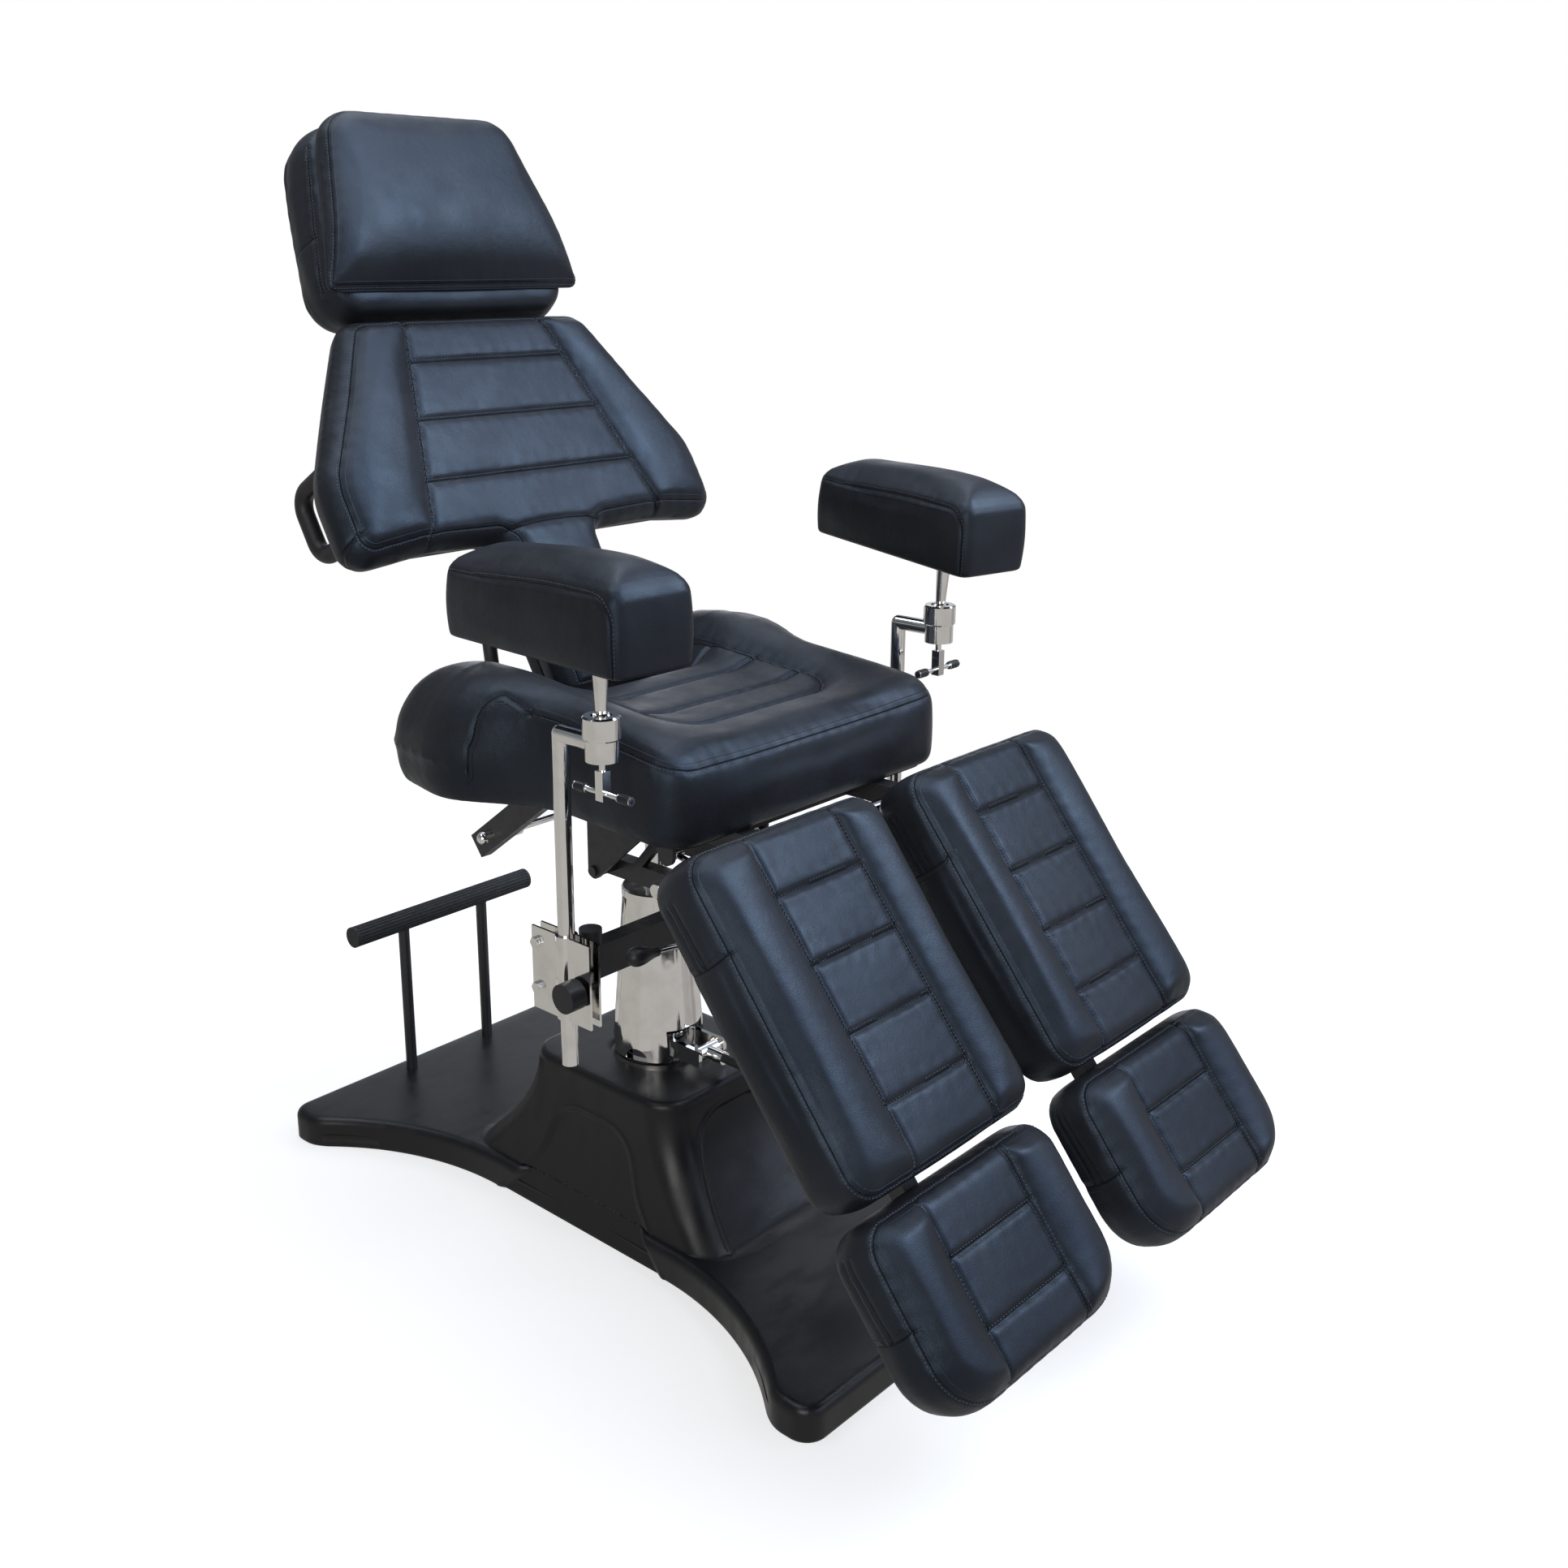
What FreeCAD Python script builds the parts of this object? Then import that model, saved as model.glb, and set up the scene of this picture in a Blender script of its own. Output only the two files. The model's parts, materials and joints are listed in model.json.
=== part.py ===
import FreeCAD, Part
import math
import os

# Hydraulic tattoo chair: a moulded hourglass base with a foot pump, a swivelling seat on the pump's ram,
# a reclining back with a sliding, tilting headrest, two hinged leg rests with sliding foot rests, and two
# armrests on ball clamps. Millimetres. The origin is on the floor under the middle of the base, on the
# pump's axis. +Z is up and the sitter looks along -Y. "Left" and "right" are the sitter's own sides: the
# sitter's left is +X.

# Clearances
RUN_GAP = 0.05          # radial running clearance of a pin or shaft in its hole
SLIDE_GAP = 0.3         # clearance of a tube that slides in or through another piece
SOFT_GAP = 0.3          # upholstery to a neighbour that it doesn't move with
OVERRUN = 2.0           # how far a cutting tool stands past the face that it cuts
EDGE_ROUND = 1.5        # smallest corner radius left when an outline shrinks

# Base cover and plate
BASE_LENGTH = 1030.0
BASE_WIDTH = 560.0
WAIST_WIDTH = 326.0
TOE_LENGTH = 58.0
TOE_ANGLE = 40.0        # degrees between the flare's straight end and the long axis
WAIST_RADIUS = 420.0
TOE_RADIUS = 50.0
CORNER_RADIUS = 28.0
COVER_LIFT = 1.0
WING_TOP = 45.0
WING_EDGE = 12.0
COVER_WALL = 6.0
ARCH_RECESS = 3.5
PLATE_THICK = 6.0
PLATE_GAP = 1.0

# Pedestal of the cover
PLATFORM_TOP = 218.0
PLATFORM_HALF_X = 125.0
PLATFORM_HALF_Y = 139.0
PEDESTAL_FOOT_X = 163.0
PEDESTAL_FOOT_Y = 295.0
PLATFORM_CORNER = 45.0
PLATFORM_EDGE = 10.0
FLARE_POWER = 1.8
PEDESTAL_STEPS = 9
SIDE_ARCH_FOOT = 165.0
SIDE_ARCH_KNEE = 92.0
SIDE_ARCH_TOP = 64.0
SIDE_ARCH_KNEE_HEIGHT = 80.0
SIDE_ARCH_HEIGHT = 158.0
FRONT_ARCH_FOOT = 108.0
FRONT_ARCH_TOP = 62.0
FRONT_ARCH_HEIGHT = 187.0
ARCH_RADIUS = 55.0
KNEE_RADIUS = 90.0

# Foot bar at the back of the base
FOOT_BAR_INSET = 32.0    # from the rear end of the cover to the middle of the foot bar
FOOT_BAR_Y = BASE_LENGTH / 2 - FOOT_BAR_INSET
FOOT_BAR_Z = 295.0
FOOT_BAR_HALF = 164.0
FOOT_GRIP_RADIUS = 16.0
FOOT_CORE_RADIUS = 11.0
FOOT_POST_X = 76.0
FOOT_POST_RADIUS = 8.5
FOOT_CAP_THICK = 5.0
GRIP_RIB_COUNT = 20
GRIP_RIB_RADIUS = 1.3

# Pump
DRUM_RADIUS = 60.5
DRUM_TOP = 223.0
HEAD_RADIUS = 55.0
HEAD_TOP = 262.0
NECK_RADIUS = 36.0
RAM_RADIUS = 15.0
RAM_BOTTOM = 130.0
RAM_TOP = 604.0
RAM_BORE_BOTTOM = 92.0
SHROUD_FOOT_RADIUS = 63.0
SHROUD_TOP_RADIUS = 46.0
SHROUD_BOTTOM = 224.0
SHROUD_TOP = 452.0
SHROUD_WALL = 1.8
SHROUD_SIDES = 12
SHROUD_TURN_SHARE = 0.5     # share of a side by which the shroud is turned
HEM_WAVE_RADIUS = 17.0
HEM_WAVE_COUNT = 6
HEM_TURN_SHARE = 0.25       # share of a wave by which the hem is turned
COLLAR_HEIGHT = 10.0
COLLAR_LIP = 2.0
PEDAL_WINDOW_WIDTH = 34.0
PEDAL_WINDOW_TOP = 268.0

# Pump pedal
PEDAL_Y = -92.0
PEDAL_Z = 242.0
PEDAL_PIN_RADIUS = 6.0
PEDAL_BARREL_RADIUS = 10.0
PEDAL_LUG_HALF = 27.0
PEDAL_LUG_THICK = 6.0
PEDAL_LUG_HEIGHT = 24.0
PEDAL_SOCKET_LENGTH = 34.0
PEDAL_SOCKET_RADIUS = 9.0
PEDAL_ROD_RADIUS = 6.0
PEDAL_REACH = 215.0
PEDAL_BEND = 60.0
PEDAL_DROP = 62.0
PEDAL_BEND_RADIUS = 22.0
PEDAL_PAD_WIDTH = 90.0
PEDAL_PAD_DEPTH = 42.0
PEDAL_PAD_THICK = 14.0
PEDAL_SCREW_RADIUS = 3.5
PEDAL_SCREW_LENGTH = 9.0

# Seat frame under the seat
RAIL_X = 128.0
RAIL_WIDE = 25.0
RAIL_BOTTOM = 613.0
RAIL_TOP = 638.0
RAIL_FRONT = -325.0
RAIL_BACK = 112.0
CROSS_FRONT = -235.0
CROSS_BACK = 88.0
SADDLE_RADIUS = 26.0
SADDLE_BOTTOM = 548.0
SADDLE_PLATE_THICK = 8.0
SADDLE_PLATE_HALF_Y = 45.0
SPRING_ARM_THICK = 18.0
SPRING_ARM_WIDE = 35.0
SPRING_ARM_TOP_Y = 20.0
SPRING_ARM_TOP_Z = 655.0
CROSS_ROD_Y = 213.9
CROSS_ROD_Z = 507.8
CROSS_ROD_RADIUS = 6.0
CROSS_ROD_HALF = 121.0
ACORN_RADIUS = 9.0
ACORN_LENGTH = 9.0

# Hanging frame round the ram
GUSSET_X = 99.0
GUSSET_THICK = 6.0
GUSSET_BACK = 24.0
GUSSET_FRONT = -126.0
GUSSET_PIN_Y = 10.0
GUSSET_PIN_Z = 507.0
GUSSET_TIP_RADIUS = 11.0
GUSSET_PIN_RADIUS = 7.0
GUSSET_PIN_HEAD = 4.0
MEMBER_X = 60.0
MEMBER_WIDE = 22.0
MEMBER_BOTTOM = 491.0
MEMBER_TOP = 517.0
MEMBER_BACK = 34.0
STRUT_TOP_Y = -112.0
STRUT_FOOT_Y = -28.0
STRUT_DEEP = 16.0
SPRING_LUG_Y = -110.0
SPRING_LUG_Z = 553.5
SPRING_LUG_RADIUS = 13.0
SPRING_LUG_THICK = 6.0

# Arm cross bar, clamps and poles
POLE_X = 309.0
POLE_Y = -166.0
POLE_RADIUS = 10.0
POLE_FOOT_NEAR = 368.0
POLE_LENGTH = 415.0
ARM_RISE = 27.0         # how much higher the left arm is clamped than the right one
BAR_DEEP = 25.0
BAR_TALL = 41.0
BAR_Z = 487.5
CLAMP_BACK = -114.0
CLAMP_FRONT = -213.0
CLAMP_BOTTOM = 428.0
CLAMP_TOP = 532.0
CLAMP_PLATE = 3.0
CLAMP_HALF_GAP = 5.5
BOLT_Y = -123.5
BOLT_HIGH_Z = 513.0
BOLT_LOW_Z = 456.0
BOLT_RADIUS = 4.0
BOLT_HEAD_RADIUS = 7.0
BOLT_HEAD_THICK = 5.5
HEX_SIDES = 6
KNOB_Y = -195.0
KNOB_Z = 471.0
KNOB_RADIUS = 20.0
KNOB_THICK = 22.0
KNOB_LOBES = 8
KNOB_LOBE_RADIUS = 4.5
KNOB_STAND = 4.0
BAR_KNOB_X = 272.0
BAR_KNOB_RADIUS = 16.0
BAR_KNOB_THICK = 18.0
BAR_KNOB_STAND = 2.0

# Ball clamp at the top of each pole
CUP_Y = -234.0
CUP_TOP_ABOVE_POLE = 24.0
CUP_HEIGHT = 51.0
CUP_RADIUS = 19.0
CUP_COLLAR_RADIUS = 21.5
CUP_COLLAR_HEIGHT = 27.0
CUP_CHAMFER = 2.0
BALL_RADIUS = 12.5
BALL_DROP = 14.5
SOCKET_RADIUS = 15.5
SOCKET_HEIGHT = 17.0
STEM_LOW_RADIUS = 5.5
STEM_TOP_RADIUS = 9.5
STEM_TOP_ABOVE_CUP = 61.0
STEM_MOUTH_RADIUS = 12.0
STEM_PLATE_RADIUS = 30.0
STEM_PLATE_THICK = 4.0
SPINDLE_RADIUS = 4.0
SPINDLE_HEIGHT = 12.0
TEE_BLOCK_SIDE = 12.0
TEE_BLOCK_HEIGHT = 34.0
TEE_BAR_RADIUS = 3.0
TEE_BAR_HALF = 45.0
TEE_BAR_UP = 8.0
TEE_GRIP_RADIUS = 5.0
TEE_GRIP_LENGTH = 20.0

# Arm pads
ARM_PAD_WIDTH = 95.0
ARM_PAD_LENGTH = 298.0
ARM_PAD_HEIGHT = 96.0
ARM_PAD_CROWN = 14.0
ARM_PAD_FRONT = 94.0    # from the stem's axis to the pad's front end
ARM_PAD_CORNER = 22.0
ARM_PAD_TOP_SHARE = 0.30    # share of its height by which the pad's top edge is drawn in
ARM_YAW_NEAR = -4.0     # degrees the right pad is turned about its stem
ARM_YAW_FAR = -12.0     # degrees the left pad is turned about its stem
ARM_TILT_NEAR = 0.0
ARM_TILT_FAR = 4.0      # degrees the left pad's back end is raised

# Release lever
LEVER_X = 112.0
LEVER_Y = -250.0
LEVER_Z = 498.0
LEVER_RISE = 17.0
LEVER_PIN_RADIUS = 5.0
LEVER_PIN_HEAD = 4.0
LEVER_BOSS_RADIUS = 9.0
LEVER_BOSS_HALF = 8.0
LEVER_ROD_RADIUS = 3.5
LEVER_GRIP_START = 247.0
LEVER_GRIP_END = 292.0
LEVER_GRIP_RADIUS = 11.0

# Seat
SEAT_BOARD_THICK = 12.0
SEAT_BOARD_INSET = 14.0
SEAT_THICK = 88.0
SEAT_CROWN = 12.0
SEAT_FRONT = -290.0
SEAT_FRONT_HALF = 250.0
SEAT_WAIST_Y = -40.0
SEAT_WAIST_HALF = 240.0
SEAT_HIP_Y = 62.0
SEAT_HIP_HALF = 288.0
SEAT_BACK = 205.0
SEAT_WING_HALF = 268.0
SEAT_HORN_X = 102.0
SEAT_HORN_Y = 190.0
SEAT_NOTCH_HALF = 94.0
SEAT_NOTCH_Y = 34.0
SEAT_PANEL_HALF = 148.0
SEAT_CHANNELS = 4
SEAT_CHANNEL_FIRST = -190.0
SEAT_CHANNEL_STEP = 52.0

# Back
BACK_ANGLE = 59.2       # degrees above level
BACK_ORIGIN_Y = 173.0   # the notch corner of the back's face
BACK_ORIGIN_Z = 937.0
BACK_THICK = 88.0
BACK_BOARD_THICK = 12.0
BACK_BOARD_INSET = 12.0
BACK_CROWN = 10.0
BACK_TOP = 328.0
BACK_TOP_HALF = 190.0
BACK_SHOULDER = 105.0
BACK_SHOULDER_HALF = 300.0
BACK_LOW_HALF = 314.0
TONGUE_HALF = 78.0
TONGUE_LOW = -232.0
BACK_SEAM_LOW = 12.0
BACK_SEAM_LOW_HALF = 200.0
BACK_SEAM_TOP_HALF = 118.0
BACK_CHANNELS = (84.0, 169.0, 251.0)
BACK_HINGE_Y = 100.0
BACK_HINGE_Z = 660.0
BACK_PIN_RADIUS = 6.0
BACK_SLEEVE_RADIUS = 10.5
BACK_BAR_X = 52.0
BACK_BAR_WIDE = 25.0
BACK_BAR_THICK = 8.0
BACK_BAR_TOP = 170.0
BACK_LUG_X = 84.0
BACK_LUG_THICK = 6.0
BACK_LUG_WIDE = 24.0
BACK_LUG_ABOVE = 13.0
GUIDE_OUTER = 10.0
GUIDE_LENGTH = 150.0
GUIDE_TOP = 306.0

# Grab handles behind the back
GRAB_X = 272.0
GRAB_RADIUS = 12.0
GRAB_LOW = 50.0
GRAB_HIGH = 140.0
GRAB_REACH = 66.0
GRAB_BEND = 26.0

# Headrest
HEAD_ANGLE = 64.9
HEAD_ORIGIN_Y = 323.0   # the front cushion's lower edge
HEAD_ORIGIN_Z = 1251.0
HEAD_HEIGHT = 231.0
HEAD_LOW_HALF = 198.0
HEAD_TOP_HALF = 124.0
HEAD_FACE_THICK = 50.0
HEAD_BASE_THICK = 92.0
HEAD_BASE_DROP = 20.0
HEAD_BOARD_THICK = 10.0
HEAD_CROWN = 10.0
HEAD_PIVOT_UP = 370.0   # along the stems, from the notch corner of the back
STEM_X = 60.0
STEM_RADIUS = 6.0
STEM_BEHIND = 20.0      # the stems' axis behind the back board
STEM_DOWN = 190.0
STEM_SLOT_HALF = 12.0
HEAD_PIN_RADIUS = 5.0
HEAD_SLEEVE_RADIUS = 9.0
HEAD_SLEEVE_HALF = 40.0
HEAD_PLATE_THICK = 4.0
HEAD_RECESS_HALF = 84.0
HEAD_RECESS_UP = 30.0
HEAD_RECESS_DEEP = 34.0

# Gas springs
SPRING_TUBE_RADIUS = 9.8
SPRING_TUBE_BORE = 8.8
SPRING_ROD_RADIUS = 4.2
SPRING_EYE_RADIUS = 10.5
SPRING_PIN_RADIUS = 4.0
BACK_SPRING_TUBE = 192.0
BACK_SPRING_ROD = 194.0
BACK_SPRING_X = 70.0
BACK_SPRING_TOP_Y = 263.1
BACK_SPRING_TOP_Z = 864.4
LEG_SPRING_TUBE = 138.0
LEG_SPRING_ROD = 205.0
LEG_SPRING_X = 75.0

# Leg rests
LEG_ANGLE = 51.2
LEG_ORIGIN_Y = -412.0   # the top edge of the leg pads' face
LEG_ORIGIN_Z = 690.0
LEG_LENGTH = 370.0
LEG_INNER = 48.0
LEG_OUTER = 322.0
LEG_THICK = 100.0
LEG_BOARD_THICK = 12.0
LEG_BOARD_INSET = 10.0
LEG_CROWN = 8.0
LEG_CORNER = 26.0
LEG_SEAM_INNER = 120.0
LEG_SEAM_OUTER = 257.0
LEG_CHANNELS = 4
LEG_CHANNEL_FIRST = -62.0
LEG_CHANNEL_STEP = -79.0
LEG_HINGE_Y = -310.0
LEG_HINGE_Z = 622.0
LEG_SHAFT_RADIUS = 8.0
LEG_SHAFT_HALF = 306.0
LEG_SLEEVE_RADIUS = 12.5
LEG_SLEEVE_IN = 152.0
LEG_SLEEVE_OUT = 300.0
LEG_TUBE_X = 186.0
LEG_TUBE_SIDE = 30.0
LEG_STRAP_WIDE = 40.0
LEG_STRAP_THICK = 4.0
LEG_STRAP_HIGH = -60.0
LEG_STRAP_LOW = -320.0
LEG_LUG_UP = -120.0
LEG_LUG_DEEP = 52.0

# Foot rests
FOOT_TOP = -392.0
FOOT_LENGTH = 190.0
FOOT_INNER = 72.0
FOOT_OUTER = 330.0
FOOT_DROP = 6.0
FOOT_THICK = 95.0
FOOT_LOW_CORNER = 62.0
FOOT_SEAM_INNER = 131.0
FOOT_SEAM_OUTER = 268.0
FOOT_CHANNELS = (-457.0, -536.0)
FOOT_TUBE_SIDE = 24.0
FOOT_TUBE_UP = -150.0
FOOT_TUBE_LOW = -520.0
FOOT_PLATE_HALF = 70.0

# Sewn channels
CHANNEL_WIDTH = 8.0
CHANNEL_DEPTH = 5.0

# Padding profile: how far the outline draws in and how high it stands, as shares of the pad's thickness
PAD_INSET_SHARES = (0.07, 0.01, 0.035, 0.0, 0.05, 0.20)
PAD_HEIGHT_SHARES = (0.0, 0.14, 0.45, 0.78, 0.92, 1.0)
PAD_TOP_INSET_SHARE = 0.52

X_AXIS = FreeCAD.Vector(1, 0, 0)
Y_AXIS = FreeCAD.Vector(0, 1, 0)
Z_AXIS = FreeCAD.Vector(0, 0, 1)
ORIGIN = FreeCAD.Vector(0, 0, 0)
SIDES = (("right", -1), ("left", 1))

PARTS = {}


def vec(x, y, z=0.0):
    """A point or direction."""
    return FreeCAD.Vector(x, y, z)


def block(x_low, x_high, y_low, y_high, z_low, z_high):
    """A box between two corners."""
    return Part.makeBox(x_high - x_low, y_high - y_low, z_high - z_low, vec(x_low, y_low, z_low))


def rod(start, end, radius):
    """A round bar from one point to another."""
    return Part.makeCylinder(radius, (end - start).Length, start, end - start)


def sleeve(start, end, outer, bore):
    """A tube whose bore runs right through."""
    along = (end - start).normalize() * OVERRUN
    return rod(start, end, outer).cut(rod(start - along, end + along, bore))


def joined(shapes):
    """One solid fused from several that touch or overlap."""
    return shapes[0].fuse(list(shapes[1:])).removeSplitter()


def group(shapes):
    """Several separate solids kept in one node."""
    solids = []
    for shape in shapes:
        solids.extend(shape.Solids)
    return Part.makeCompound(solids)


def mirrored(shape):
    """The same piece on the other side of the chair."""
    return shape.mirror(ORIGIN, X_AXIS)


def on_side(shape, side):
    """A piece modelled at +X, moved to the asked side."""
    return shape if side > 0 else mirrored(shape)


def leaned(shape, angle, y, z):
    """A piece modelled flat (Y up the slope, Z out of its face) stood up at its angle."""
    moved = shape.copy()
    moved.rotate(ORIGIN, X_AXIS, angle)
    moved.translate(vec(0, y, z))
    return moved


def leaned_point(x, up, out, angle, y, z):
    """Where a point of a flat-modelled piece stands in the chair."""
    turn = math.radians(angle)
    return vec(
        x, y + up * math.cos(turn) - out * math.sin(turn), z + up * math.sin(turn) + out * math.cos(turn)
    )


def flattened(point, angle, y, z):
    """Where a point of the chair lies in the flat frame of a leaned piece."""
    turn = math.radians(angle)
    along, up = point.y - y, point.z - z
    return vec(
        point.x, along * math.cos(turn) + up * math.sin(turn), up * math.cos(turn) - along * math.sin(turn)
    )


def shrunk(corners, inset):
    """The corners of a polygon, listed anticlockwise, with every side moved in by the inset."""
    moved = []
    count = len(corners)
    for i in range(count):
        before, here, after = corners[i - 1], corners[i], corners[(i + 1) % count]
        first = vec(here[0] - before[0], here[1] - before[1]).normalize()
        second = vec(after[0] - here[0], after[1] - here[1]).normalize()
        turn = first.x * second.y - first.y * second.x
        slide = (1 - first.dot(second)) / turn
        moved.append(
            (here[0] - inset * (first.y + first.x * slide), here[1] + inset * (first.x - first.y * slide))
        )
    return moved


def outline(corners, radii, height, inset=0.0):
    """A closed wire of straight sides and rounded corners at one height.

    Corners are anticlockwise. A corner that points outwards gets a smaller radius as the outline
    shrinks, and one that points inwards a larger one.
    """
    points = shrunk(corners, inset)
    count = len(points)
    starts, middles, ends = [], [], []
    for i in range(count):
        here = vec(points[i][0], points[i][1], height)
        to_last = (vec(points[i - 1][0], points[i - 1][1], height) - here).normalize()
        to_next = (vec(points[(i + 1) % count][0], points[(i + 1) % count][1], height) - here).normalize()
        outward = to_next.x * to_last.y - to_next.y * to_last.x > 0
        radius = max(radii[i] - inset, EDGE_ROUND) if outward else radii[i] + inset
        half = math.acos(to_last.dot(to_next)) / 2
        starts.append(here + to_last * (radius / math.tan(half)))
        ends.append(here + to_next * (radius / math.tan(half)))
        middle = (to_last + to_next).normalize()
        middles.append(here + middle * (radius / math.sin(half) - radius))
    edges = []
    for i in range(count):
        edges.append(Part.Arc(starts[i], middles[i], ends[i]).toShape())
        edges.append(Part.LineSegment(ends[i], starts[(i + 1) % count]).toShape())
    return Part.Wire(edges)


def slab(corners, radii, low, high, inset=0.0):
    """A flat plate with rounded corners."""
    return Part.Face(outline(corners, radii, low, inset)).extrude(vec(0, 0, high - low))


def stacked(wires):
    """A solid through a stack of outlines."""
    return Part.makeLoft(wires, True, True)


def mirrored_corners(half):
    """A whole outline from its +X half, listed anticlockwise from the front to the back."""
    return half + [(-x, y) for x, y in reversed(half)]


def mirrored_radii(half):
    """The corner radii that go with mirrored_corners."""
    return half + list(reversed(half))


def cushion(corners, radii, thick, crown, spread_share=PAD_TOP_INSET_SHARE):
    """A padded form on z = 0: drawn-in sides, rounded edges and a crowned face."""
    wires = []
    for inset_share, height_share in zip(PAD_INSET_SHARES, PAD_HEIGHT_SHARES):
        wires.append(outline(corners, radii, thick * height_share, thick * inset_share))
    wires.append(outline(corners, radii, thick + crown, thick * spread_share))
    return stacked(wires)


def channel(start, end, face):
    """The cutter of one sewn channel along the face of a cushion."""
    along = end - start
    across = vec(-along.y, along.x).normalize() * (CHANNEL_WIDTH / 2)
    up = vec(0, 0, CHANNEL_DEPTH)
    top = vec(0, 0, face) + start
    corners = [top + across + up, top - up, top - across + up]
    return Part.Face(Part.makePolygon(corners + corners[:1])).extrude(along)


def bent_bar(points, radius, bend):
    """A round bar along straight runs joined by equal arcs."""
    edges = []
    start = points[0]
    for i in range(1, len(points) - 1):
        corner = points[i]
        to_last = (points[i - 1] - corner).normalize()
        to_next = (points[i + 1] - corner).normalize()
        half = math.acos(to_last.dot(to_next)) / 2
        reach = bend / math.tan(half)
        middle = corner + (to_last + to_next).normalize() * (bend / math.sin(half) - bend)
        edges.append(Part.LineSegment(start, corner + to_last * reach).toShape())
        edges.append(Part.Arc(corner + to_last * reach, middle, corner + to_next * reach).toShape())
        start = corner + to_next * reach
    edges.append(Part.LineSegment(start, points[-1]).toShape())
    circle = Part.Wire([Part.makeCircle(radius, points[0], points[1] - points[0])])
    return Part.Wire(edges).makePipeShell([circle], True, False)


def base_corners():
    """The hourglass plan of the base: straight waist, flares and toes."""
    half_length = BASE_LENGTH / 2
    half_width = BASE_WIDTH / 2
    toe = half_length - TOE_LENGTH
    flare = toe - (half_width - WAIST_WIDTH / 2) / math.tan(math.radians(TOE_ANGLE))
    half = [(half_width, -half_length), (half_width, -toe), (WAIST_WIDTH / 2, -flare),
            (WAIST_WIDTH / 2, flare), (half_width, toe), (half_width, half_length)]
    radii = [CORNER_RADIUS, TOE_RADIUS, WAIST_RADIUS, WAIST_RADIUS, TOE_RADIUS, CORNER_RADIUS]
    return mirrored_corners(half), mirrored_radii(radii)


def wing_form(shrink, bottom):
    """The low hourglass body of the cover, with a rounded upper edge."""
    corners, radii = base_corners()
    top = WING_TOP - shrink
    wires = [outline(corners, radii, bottom, shrink)]
    for turn in (0, 30, 60, 90):
        lean = math.radians(turn)
        draw = WING_EDGE * (1 - math.cos(lean))
        wires.append(outline(corners, radii, top - WING_EDGE * (1 - math.sin(lean)), shrink + draw))
    return stacked(wires)


def pedestal_form(shrink, bottom):
    """The pedestal, which flares down from the pump platform to the waist and the wings."""
    top = PLATFORM_TOP - shrink
    straight = top - PLATFORM_EDGE
    wires = []
    for i in range(PEDESTAL_STEPS):
        share = i / (PEDESTAL_STEPS - 1)
        flare = (1 - share) ** FLARE_POWER
        half_x = PLATFORM_HALF_X + (PEDESTAL_FOOT_X - PLATFORM_HALF_X) * flare
        half_y = PLATFORM_HALF_Y + (PEDESTAL_FOOT_Y - PLATFORM_HALF_Y) * flare
        wires.append(platform_outline(half_x, half_y, bottom + (straight - bottom) * share, shrink))
    for turn in (45, 90):
        lean = math.radians(turn)
        draw = PLATFORM_EDGE * (1 - math.cos(lean))
        height = straight + PLATFORM_EDGE * math.sin(lean)
        wires.append(platform_outline(PLATFORM_HALF_X, PLATFORM_HALF_Y, height, shrink + draw))
    return stacked(wires)


def platform_outline(half_x, half_y, height, inset):
    """One level of the pedestal."""
    corners = mirrored_corners([(half_x, -half_y), (half_x, half_y)])
    return outline(corners, [PLATFORM_CORNER] * len(corners), height, inset)


def cover_form(shrink, bottom):
    """The whole cover's outside, or a smaller copy of it."""
    return joined([wing_form(shrink, bottom), pedestal_form(shrink, bottom)])


def arch_cutter(corners, radii, across, widen):
    """A prism of one arch, drawn upright, that passes right through the cover."""
    face = Part.Face(outline(corners, radii, -across, -widen))
    face.rotate(ORIGIN, X_AXIS, 90)
    return face.extrude(vec(0, -2 * across, 0))


def arches(widen):
    """The prisms of the arches on the pedestal: front and rear, then the two sides, widened by a wall."""
    side = [
        (SIDE_ARCH_FOOT, -OVERRUN), (SIDE_ARCH_KNEE, SIDE_ARCH_KNEE_HEIGHT),
        (SIDE_ARCH_TOP, SIDE_ARCH_HEIGHT)
    ]
    side_radii = [EDGE_ROUND, KNEE_RADIUS, ARCH_RADIUS]
    front = [(FRONT_ARCH_FOOT, WING_TOP), (FRONT_ARCH_TOP, FRONT_ARCH_HEIGHT)]
    front_radii = [EDGE_ROUND, ARCH_RADIUS]
    across_front = arch_cutter(mirrored_corners(front), mirrored_radii(front_radii), PEDESTAL_FOOT_Y, widen)
    across_side = arch_cutter(mirrored_corners(side), mirrored_radii(side_radii), PEDESTAL_FOOT_Y, widen)
    across_side.rotate(ORIGIN, Z_AXIS, 90)
    return across_front, across_side


def arched(shape, shrink, bottom):
    """A cover form with its arches set back. In the side arches the wall runs down to the floor."""
    across_front, across_side = arches(shrink)
    shape = shape.cut(across_front.cut(cover_form(ARCH_RECESS + shrink, bottom)))
    return shape.cut(across_side.cut(pedestal_form(ARCH_RECESS + shrink, bottom)))


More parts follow.
